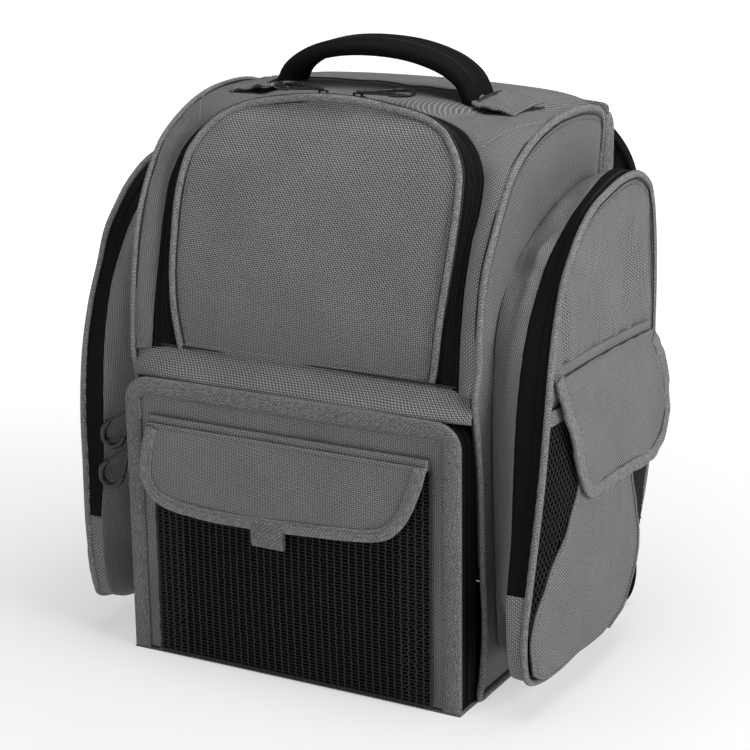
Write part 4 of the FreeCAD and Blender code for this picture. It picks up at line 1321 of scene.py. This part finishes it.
def side_flap_face(y, z):
    """Outer face of a side flap: hangs from its hinge and stands off at its free corner."""
    drop = min(max((277 - z) / 115, 0), 1)
    share = (y + 90) / 240
    return 217.8 + 4.6 * drop ** 0.8 * (1.25 - 0.7 * share) + 1.2 * math.sin(math.pi * drop)


def side_flap(side, sign):
    edge = spline(SIDE_FLAP_EDGE, 110)
    rows = []
    for share in np.linspace(0, 1, 20):
        line = []
        for index, (y, z) in enumerate(edge):
            top_y = -80 + 197 * index / (len(edge) - 1)
            top_z = 277 - 7 * (index / (len(edge) - 1)) ** 2
            py = top_y + (y - top_y) * share
            pz = top_z + (z - top_z) * share
            line.append((side_flap_face(py, pz), py, pz))
        rows.append(line)
    grid = np.array(rows)
    for i in range(1, grid.shape[0]):
        for j in range(grid.shape[1]):
            _, y, z = grid[i, j]
            grid[i, j, 0] += (2.4 * crumple((0, y + z * 0.4, z * 0.3), 26, 81) + 0.9) * min(i / 4, 1)
    cloth = sheet_piece("side_flap_cloth_" + side, mirrored(grid, sign), "twill_fine", 1.8, [1, 2],
                        (sign, 0, 0))
    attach(cloth, "side_flap_" + side)
    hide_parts("side_flap_panel_" + side)
    path = mirrored(np.array([(side_flap_face(y, z) + 1.0 + 1.3 * crumple((0, y, z), 12, 83),
                               y + 0.9 * crumple((0, y, z), 15, 84), z + 1.2 * crumple((0, y, z), 14, 85))
                              for y, z in edge]), sign)
    width = 10.0
    section = [(0.9, 1.8), (1.3, 0), (0.8, -1.2), (-0.6, -1.5), (-width + 0.8, -1.4), (-width, -0.8),
               (-width + 0.3, 0.3), (-0.8, 0.6), (-1.6, 2.2), (-width + 1, 2.4), (-width + 1, 3.1),
               (-0.5, 3.2)]
    shape = [(n * sign, -b) for n, b in section]
    binding = sweep_piece("side_flap_binding_tape_" + side, path, shape, (sign, 0, 0.001), "grosgrain")
    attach(binding, "side_flap_" + side)
    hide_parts("side_flap_binding_" + side)
    row = []
    for y, z in edge[3:-3]:
        inward = np.array([35.0 - y, 228.0 - z])
        inward[0] *= 0.45
        inward /= np.linalg.norm(inward)
        spot = np.array([y, z]) + inward * (width - 1.6)
        row.append((side_flap_face(*spot) + 1.5, spot[0], spot[1]))
    stitches("side_flap_" + side, "thread_grey", mirrored(row, sign), (sign, 0, 0), 3.0, 2.1, 0.32, 0.3)
    welt = np.array([(214.2, y, 281.5 - 8 * ((y + 84) / 202) ** 2) for y in np.linspace(-84, 118, 60)])
    fold = sweep_piece("side_flap_welt_" + side, mirrored(welt, sign), flat_section(9, 3.6, 1.7, 4),
                       (sign, 0, 0.001), "twill_fine")
    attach(fold, "side_pocket_" + side)


# ---------------------------------------------------------------- handle

def handle():
    """Padded webbing handle between two reinforced patches on the top."""
    depth = 50
    half = [(91, 455), (91, 461), (88, 472), (80, 484.5), (62, 495.5), (33, 503.3), (0, 505.7)]
    points = [(-x, depth, z) for x, z in half] + [(x, depth, z) for x, z in reversed(half[:-1])]
    path = spline(points, 97)
    tangent = np.gradient(path, axis=0)
    up = np.cross(tangent, np.array([0, 1.0, 0]))
    up /= np.linalg.norm(up, axis=1, keepdims=True)
    up *= np.sign(up[len(up) // 2, 2])
    middle = np.clip(1 - np.abs(path[:, 0:1] / 93) ** 3, 0, 1)[:, 0]
    sections = np.array([flat_section(38 + 3 * (1 - m), 7.5 + 4.0 * m, 3.4 + 2.0 * m, 4) for m in middle])
    piece = sweep_piece("carry_handle_webbing", path, sections, up, "webbing")
    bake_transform(piece)
    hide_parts("carry_handle")
    for place, size in ((-16.5, 10.5), (16.5, 9.0)):
        roll = path + np.array([0, place, 0]) - up * 2.2
        tube = sweep_piece("carry_handle_roll_%s" % ("front" if place < 0 else "rear"), roll,
                           np.array([oval(size, size + 1.5, 14)] * len(path)), up, "webbing")
        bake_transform(tube)
    reach = (7.5 + 4.0 * middle)[:, None] / 2
    for place in (-11.0, 11.0, -8.5):
        rim = path + np.array([0, place, 0]) + up * (reach + 0.1)
        stitches("handle", "thread_black" if place < -9 else "seam_dark", rim[10:-10], up[10:-10], 3.2, 2.3,
                 0.42, 0.1)
    for side, sign in SIDES:
        grid = []
        for x in np.linspace(94, 134, 18):
            line = []
            for y in np.linspace(24, 76, 19):
                share = (x - 94) / 40
                puff = 2.6 + 3.4 * crumple((x, y, 0), 10, 121 + sign) * (1 - 0.6 * share)
                line.append((x, y + 4 * share * (y - 49) / 30, top_height(x, y) + puff - 1.6 * share))
            grid.append(line)
        patch = sheet_piece("handle_anchor_cloth_" + side, mirrored(np.array(grid), sign), "twill_fine", 2.0,
                            [0, 1], (0, 0, 1), 1)
        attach(patch, "pack")
        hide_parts("handle_anchor_" + side)
        grid = np.array(grid)
        for row in (grid[1:-1, 1], grid[1:-1, -2], grid[-2, 1:-1], grid[3, 1:-1]):
            stitches("pack", "thread_light", mirrored(row, sign), (0, 0, 1), 3.2, 2.2, 0.34, 0.5)
        painted_seam_shade("pack", mirrored(np.array([(98.5, y, top_height(98.5, y) + 3.6) for y in np.linspace(28, 70,
                                                                                                    20)]),
                                sign), (0, 0, 1), 2.2, 1.6)


def top_height(x, y):
    """Height of the crowned top at a place."""
    centre = np.interp(y, (-10, 60, 141), (470.5, 470.5, 465))
    edge = np.interp(y, (-12, 15, 45, 80, 121, 141), (443.5, 452.5, 457.3, 457.8, 450.5, 446.5))
    share = min(abs(x) / 163, 1)
    return centre + (edge - centre) * share ** 2.0 + 1.0


# ---------------------------------------------------------------- back and straps

def inflate(piece, pressure, cap, pinned=None, voxel=4.5):
    """Swells a padded shape as stuffed cloth, with a cap on how far any point moves."""
    remesh = piece.modifiers.new("even", "REMESH")
    remesh.mode = "VOXEL"
    remesh.voxel_size = voxel * MM
    bpy.context.view_layer.objects.active = piece
    bpy.context.view_layer.update()
    apply_modifier(piece, "even")
    start = np.array([v.co[:] for v in piece.data.vertices])
    if pinned is not None:
        group = piece.vertex_groups.new(name="sewn")
        for vertex in piece.data.vertices:
            weight = pinned(vertex.co / MM)
            if weight > 0:
                group.add([vertex.index], weight, "REPLACE")
    cloth = piece.modifiers.new("stuffing", "CLOTH")
    settings = cloth.settings
    settings.use_pressure = True
    settings.uniform_pressure_force = pressure
    settings.effector_weights.gravity = 0.0
    settings.tension_stiffness = 25
    settings.compression_stiffness = 25
    settings.shear_stiffness = 15
    settings.bending_stiffness = 0.6
    if pinned is not None:
        settings.vertex_group_mass = "sewn"
    scene = bpy.context.scene
    for number in range(1, 21):
        scene.frame_set(number)
    apply_modifier(piece, "stuffing")
    scene.frame_set(1)
    end = np.array([v.co[:] for v in piece.data.vertices])
    move = end - start
    far = np.linalg.norm(move, axis=1, keepdims=True)
    end = start + move * np.minimum(1.0, cap * MM / np.maximum(far, 1e-9))
    piece.data.vertices.foreach_set("co", end.ravel())
    piece.data.shade_smooth()
    smooth = piece.modifiers.new("smooth", "SUBSURF")
    smooth.levels = 1
    smooth.render_levels = 1


def apply_modifier(piece, name):
    """Bakes a modifier into the mesh and keeps the material."""
    graph = bpy.context.evaluated_depsgraph_get()
    mesh = bpy.data.meshes.new_from_object(piece.evaluated_get(graph))
    materials = [slot.material for slot in piece.material_slots]
    modifier = piece.modifiers.get(name)
    piece.modifiers.remove(modifier)
    piece.data = mesh
    mesh.materials.clear()
    for material in materials:
        mesh.materials.append(material)


def back_panel():
    """Back cloth, its binding, and a quilted spacer pad against the wearer's back."""
    xs = np.linspace(-156, 156, 45)
    zs = np.linspace(3, 452, 60)
    grid = np.array([[(x * (1 + 0.06 * max(z - 250, 0) / 200), 140.6, min(z, 452 + 8 * (1 - (x / 168) ** 2)))
                      for z in zs] for x in xs])
    grid[:, -1, 2] = [452 + 8 * (1 - (x / 168) ** 2) for x in xs]
    grid = relax_panel(grid, 0.8, 60, 91)
    cloth = sheet_piece("back_cloth", grid, "twill", 2.6, [0, 2], (0, 1, 0), 1)
    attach(cloth, "pack")
    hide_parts("back_panel")
    rim = [(-153, 4), (-155, 120), (-158, 250), (-162, 390), (-163, 432), (-146, 446), (-116, 453.5),
           (-64, 457.5),
           (0, 459), (64, 457.5), (116, 453.5), (146, 446), (163, 432), (162, 390), (158, 250), (155, 120),
           (153, 4)]
    path = spline([(x, 141.8, z) for x, z in rim], 220)
    binding = sweep_piece("back_binding_tape", path, flat_section(9, 2.2), (0, 1, 0), "grosgrain_dark")
    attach(binding, "pack")

    low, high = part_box("back_pad")
    low, high = np.array(low) / MM, np.array(high) / MM
    half = (high[0] - low[0]) / 2 - 5
    seams = (high[2] - 66, high[2] - 150, high[2] - 234, low[2] + 62)

    def channel(z):
        return min(abs(z - seam) for seam in seams)

    outline = []
    for angle in np.linspace(0, 2 * math.pi, 120, endpoint=False):
        c, s = math.cos(angle), math.sin(angle)
        power = 0.28
        x = half * math.copysign(abs(c) ** power, c)
        z = (low[2] + high[2]) / 2 + ((high[2] - low[2]) / 2 - 5) * math.copysign(abs(s) ** power, s)
        outline.append((x, z))
    rings = [(1.0, low[1] + 1.5), (1.0, high[1] - 4.5), (0.97, high[1] - 2.2), (0.9, high[1] - 1.6),
             (0.5, high[1] - 1.4)]
    verts, middle_z = [], (low[2] + high[2]) / 2
    for share, y in rings:
        verts += [(x * share, y, middle_z + (z - middle_z) * share) for x, z in outline]
    count = len(outline)
    faces = grid_faces(len(rings), count, wrap_cols=True)
    faces.append(tuple(range(count))[::-1])
    faces.append(tuple(range((len(rings) - 1) * count, len(rings) * count)))
    pad = make_piece("back_pad_spacer", verts, faces, [(v[0], v[2]) for v in verts], "spacer_mesh")
    face_outward(pad)

    def sewn(place):
        """1 where the pad is held: along its channels and on the face against the pack."""
        in_channel = channel(place[2]) < 4.0 and abs(place[0]) < half - 4
        return 1.0 if in_channel or place[1] < low[1] + 3 else 0.0

    inflate(pad, 4.0, 7.0, sewn)
    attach(pad, "pack")
    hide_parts("back_pad")
    for seam in seams:
        row = [(x, high[1] - 0.6, seam) for x in np.linspace(-half + 8, half - 8, 60)]
        stitches("pack", "thread_black", row, (0, 1, 0), 3.6, 2.6, 0.45, 0.2)
    yoke = [(-118, 141.8, 428), (-60, 142.6, 430), (0, 142.8, 431), (60, 142.6, 430), (118, 141.8, 428)]
    tape_piece = sweep_piece("strap_yoke_webbing", spline(yoke, 60), flat_section(25, 2.2), (0, 1, 0),
                             "webbing")
    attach(tape_piece, "pack")


def strap_line(side_sign):
    """Middle line of a shoulder strap from its top seam to its lower end."""
    points = [(104, 151.5, 436), (116, 163.5, 429), (131, 179, 410), (140, 190, 382), (142, 191.5, 345),
              (141, 188.5, 300), (139.5, 183, 240), (138, 176, 180), (137, 167, 124)]
    return mirrored(spline(points, 60), side_sign)


def shoulder_strap(side, sign):
    """Curved foam strap in spacer mesh with bound edges, and its adjusting webbing below."""
    path = strap_line(sign)
    tangent = np.gradient(path, axis=0)
    out = np.cross(tangent, np.array([1.0 * sign, 0, 0])) * sign
    out = np.where((out[:, 1] > 0)[:, None], out, -out)
    out /= np.linalg.norm(out, axis=1, keepdims=True)
    width = np.interp(np.linspace(0, 1, len(path)), (0, 0.12, 0.5, 0.85, 1.0), (50, 58, 60, 54, 34))
    sections = np.array([flat_section(w - 5, 8.0, 3.4, 4) for w in width])
    pad = sweep_piece("strap_foam_" + side, path, sections, out, "spacer_mesh")
    inflate(pad, 4.0, 5.0, None, 5.0)
    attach(pad, "shoulder_strap_" + side)
    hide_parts("strap_pad_" + side)
    beside = np.cross(tangent, out)
    beside /= np.linalg.norm(beside, axis=1, keepdims=True)
    for edge in (-1, 1):
        rim = path + beside * (edge * (width / 2 - 1.0))[:, None]
        bound = sweep_piece("strap_edge_%s_%s" % ("inner" if edge < 0 else "outer", side), rim,
                            flat_section(4.2, 8.5, 2.0, 3), out, "webbing")
        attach(bound, "shoulder_strap_" + side)
    spine = path + out * 6.2
    band = sweep_piece("strap_spine_" + side, spine[4:], flat_section(24, 1.6), out[4:], "webbing")
    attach(band, "shoulder_strap_" + side)

    low, high = (np.array(c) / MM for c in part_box("ladder_lock_" + side))
    centre = (low + high) / 2
    lock_width, lock_high = 30.0, 21.0
    parts = []
    for z in (high[2] - 1.8, centre[2], low[2] + 1.8):
        bar = [(centre[0] - lock_width / 2, centre[1], z), (centre[0] + lock_width / 2, centre[1], z)]
        grid = sweep_grid(resample(np.array(bar), 9), oval(3.6, 4.4, 10), (0, 1, 0))
        parts.append((grid.reshape(-1, 3), grid_faces(9, 10, wrap_cols=True) + [tuple(range(10)),
                     tuple(range(80, 90))[::-1]], grid.reshape(-1, 3)[:, [0, 2]]))
    for x in (-1, 1):
        rail = [(centre[0] + x * lock_width / 2, centre[1], centre[2] - lock_high / 2 + 0.5),
                (centre[0] + x * lock_width / 2, centre[1], centre[2] + lock_high / 2 - 0.5)]
        grid = sweep_grid(resample(np.array(rail), 9), oval(4.2, 5.4, 10), (0, 1, 0))
        parts.append((grid.reshape(-1, 3), grid_faces(9, 10, wrap_cols=True) + [tuple(range(10)),
                     tuple(range(80, 90))[::-1]], grid.reshape(-1, 3)[:, [0, 2]]))
    lock = join_meshes("ladder_lock_frame_" + side, parts, "moulded_black")
    face_outward(lock)
    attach(lock, "shoulder_strap_" + side)
    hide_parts("ladder_lock_" + side)
    loop = spline([(137, 171, 132), (138, 170.5, 124), (138, 167.5, 117.5), (138, 163.5, 116.5),
                   (137.5, 161.5, 122),
                   (137, 162.5, 130)], 30)
    keeper = mirrored(loop, sign)
    holder = sweep_piece("ladder_keeper_" + side, keeper, flat_section(25, 1.5), tab_binormals(keeper),
                         "webbing")
    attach(holder, "shoulder_strap_" + side)

    route = [(158, 142.8, 6), (168, 147, 5), (176, 155, 12), (178, 161, 26), (175, 165.5, 42),
             (165, 169.5, 64),
             (150, 169, 90), (141, 165.5, 101), (138.5, 168.5, 106)]
    line = mirrored(spline(route, 60), sign)
    run = np.gradient(line, axis=0)
    back = np.cross(run, np.array([1.0, 0, -0.1]))
    band = sweep_piece("strap_webbing_lower_" + side, line, flat_section(25, 1.7), back, "webbing")
    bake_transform(band)
    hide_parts("strap_webbing_" + side)
    tail = mirrored(spline([(138, 164.6, 108), (138, 171.5, 104), (139, 174, 92), (141, 172, 66),
                            (140, 174, 48)], 40),
                    sign)
    run = np.gradient(tail, axis=0)
    loose = sweep_piece("strap_tail_" + side, tail, flat_section(25, 1.6),
                        np.cross(run, np.array([1.0, 0, 0])),
                        "webbing")
    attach(loose, "shoulder_strap_" + side)
    anchor = mirrored(np.array([(147, 142, 4), (150, 143.5, 14), (158, 143.8, 26), (163, 142.6, 38)]), sign)
    tab = sweep_piece("strap_anchor_" + side, spline(anchor, 24), flat_section(30, 3.0), (0, 1, 0),
                      "twill_fine")
    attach(tab, "pack")


# ---------------------------------------------------------------- inside

def base_cloth():
    """Cloth under the base, from the door's foot to the back panel."""
    grid = [[(x, y, 1.7 - 0.6 * abs(x / 156) ** 4) for y in np.linspace(-121, 140, 24)]
            for x in np.linspace(-156, 156, 25)]
    cloth = sheet_piece("base_cloth", grid, "twill", 1.2, [0, 1], (0, 0, -1))
    for vertex in cloth.data.vertices:
        vertex.co.z -= 1.2 * MM
    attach(cloth, "pack")


def inside():
    """Lining that shows when the door and lid are open: shelf and floor."""
    low, high = (np.array(c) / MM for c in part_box("divider_shelf"))
    xs, ys = np.linspace(low[0], high[0], 33), np.linspace(low[1] + 2, high[1], 25)
    grid = np.array([[(x, y, low[2] + 1.5 - 3 * (1 - (x / high[0]) ** 2) * math.sin(math.pi * (y - ys[0])
                       / (ys[-1] - ys[0]))) for y in ys] for x in xs])
    shelf = sheet_piece("divider_cloth", relax_panel(grid, 0.8, 50, 101), "lining", 2.6, [0, 1], (0, 0, 1), 1)
    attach(shelf, "pack")
    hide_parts("divider_shelf")
    low, high = (np.array(c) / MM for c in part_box("base_panel"))
    xs, ys = np.linspace(low[0], high[0], 33), np.linspace(low[1], high[1], 25)
    grid = np.array([[(x, y, 2.9) for y in ys] for x in xs])
    base = sheet_piece("base_cloth", relax_panel(grid, 0.3, 50, 103), "lining", 2.8, [0, 1], (0, 0, 1), 1)
    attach(base, "pack")
    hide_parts("base_panel")


# ---------------------------------------------------------------- zip sliders and pulls

def slider_piece(name, body, node, place, along, outward):
    """Zip slider: a shield-shaped top plate, two flanks and a bail, from rounded solids."""
    along, outward = Vector(along).normalized(), Vector(outward).normalized()
    beside = outward.cross(along)
    shape = bmesh.new()

    def block(centre, size, bevel):
        made = bmesh.ops.create_cube(shape, size=1.0)["verts"]
        for vertex in made:
            vertex.co = Vector((vertex.co.x * size[0], vertex.co.y * size[1],
                                vertex.co.z * size[2])) + Vector(centre)
        edges = list({edge for vertex in made for edge in vertex.link_edges})
        bmesh.ops.bevel(shape, geom=edges, offset=bevel, segments=3, profile=0.6, affect="EDGES")

    block((0, 0, 1.4), (11.5, 7.4, 1.6), 0.7)
    block((1.5, 0, 0.6), (6.5, 6.6, 1.0), 0.45)
    block((-3.6, 0, 3.0), (1.8, 2.2, 2.6), 0.5)
    block((3.6, 0, 3.0), (1.8, 2.2, 2.6), 0.5)
    block((0, 0, 4.2), (8.6, 2.2, 1.2), 0.5)
    turn = Matrix((along, beside, outward)).transposed().to_4x4()
    shape.transform(Matrix.Scale(MM, 4) @ Matrix.Translation(Vector(place)) @ turn)
    mesh = bpy.data.meshes.new(name)
    shape.to_mesh(mesh)
    shape.free()
    mesh.materials.append(MATERIALS["moulded_black"])
    mesh.shade_smooth()
    piece = bpy.data.objects.new(name, mesh)
    bpy.context.scene.collection.objects.link(piece)
    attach(piece, body)
    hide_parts(node)
    return piece


def pull_piece(name, body, node, start, along, beside, lift):
    """Cord pull: both legs of a thin cord run into a thick moulded U-shaped end."""
    start, along, beside = (np.array(v, float) for v in (start, along, beside))
    along /= np.linalg.norm(along)
    beside /= np.linalg.norm(beside)
    above = np.cross(along, beside)

    def place(u, v, w=0.0):
        return start + along * u + beside * v + above * w

    cord = [place(0.0, 0.9, 0.2), place(6, 1.6), place(14, 4.2, lift * 0.3), place(22, 7.4, lift * 0.7),
            place(30, 9.6, lift), place(38, 9.9, lift), place(45, 5.8, lift * 0.8), place(47, 0, lift * 0.7),
            place(45, -5.8, lift * 0.8), place(38, -9.9, lift), place(30, -9.6, lift),
            place(22, -7.4, lift * 0.7),
            place(14, -4.2, lift * 0.3), place(6, -1.6), place(0.0, -0.9, 0.2)]
    line = spline(cord, 120)
    thin = sweep_piece(name + "_cord", line, oval(2.5, 2.5, 10), above, "moulded_black")
    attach(thin, body)
    share = np.linspace(-1, 1, 61)
    grip = resample(line[32:-32], 61)
    sizes = 3.6 + 1.6 * (1 - np.abs(share) ** 6)
    sections = np.array([oval(s, s * 0.9, 12) for s in sizes])
    sections[0] *= 0.6
    sections[-1] *= 0.6
    thick = sweep_piece(name + "_grip", grip, sections, above, "moulded_black")
    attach(thick, body)
    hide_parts(node)
    knot = sweep_piece(name + "_knot", np.array([place(5.0, 0), place(6.5, 0), place(8.5, 0), place(10, 0)]),
                       np.array([oval(2.5, 2.5), oval(4.4, 3.6), oval(4.6, 3.6), oval(3.0, 2.8)]), above,
                       "moulded_black")
    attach(knot, body)


def zip_ends():
    lean = math.radians(232)
    slope = (math.cos(lean), 0, math.sin(lean))
    across = (-math.sin(lean), 0, math.cos(lean))
    for place, height, shift in (("upper", 212.0, -1.4), ("lower", 178.0, -6.8)):
        spot = (-154.6, -103.3, height)
        slider_piece("door_slider_body_%s_shield" % place, "door_slider_body_" + place,
                     "door_slider_" + place,
                     spot, (0, 0, 1), (-1, 0, 0))
        pull_piece("door_pull_" + place + "_loop", "door_pull_body_" + place, "door_pull_" + place,
                   (-158.8, -103.2 + shift, height), slope, across, 0.0)
    for side, sign in SIDES:
        spot = (sign * 16.0, -23.0, 472.6)
        slider_piece("arch_slider_%s_shield" % side, "arch_slider_body_" + side, "arch_slider_" + side,
                     spot, (1, 0, 0), (0, 0.1, 1))
        flat = (sign * math.cos(math.radians(12)), math.sin(math.radians(12)), 0.0)
        beside = (-flat[1], flat[0], 0.0)
        pull_piece("arch_pull_%s_loop" % side, "arch_pull_body_" + side, "arch_pull_" + side,
                   (sign * 16.0, -24.5, 478.2), flat, beside, 1.0 * sign)
    for side, sign in SIDES:
        low, high = (np.array(c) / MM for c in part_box("pocket_slider_" + side))
        centre = (low + high) / 2
        slider_piece("pocket_slider_%s_shield" % side, "pocket_slider_body_" + side, "pocket_slider_" + side,
                     (centre[0], low[1] + 0.8, centre[2]), (0, 0.13, 1), (0, 1, -0.13))


def sew_stitches():
    for (body, thread), parts in STITCHES.items():
        piece = join_meshes("stitches_%s_%s" % (thread, body), parts, thread)
        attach(piece, body)


camera_and_light()
upper_shell()
side_panels()
lid_band()
lid()
seam_band()
door()
front_net()
front_flap()
for side_name, side_sign in SIDES:
    side_pocket(side_name, side_sign)
handle()
back_panel()
for side_name, side_sign in SIDES:
    shoulder_strap(side_name, side_sign)
base_cloth()
inside()
zip_ends()
sew_stitches()
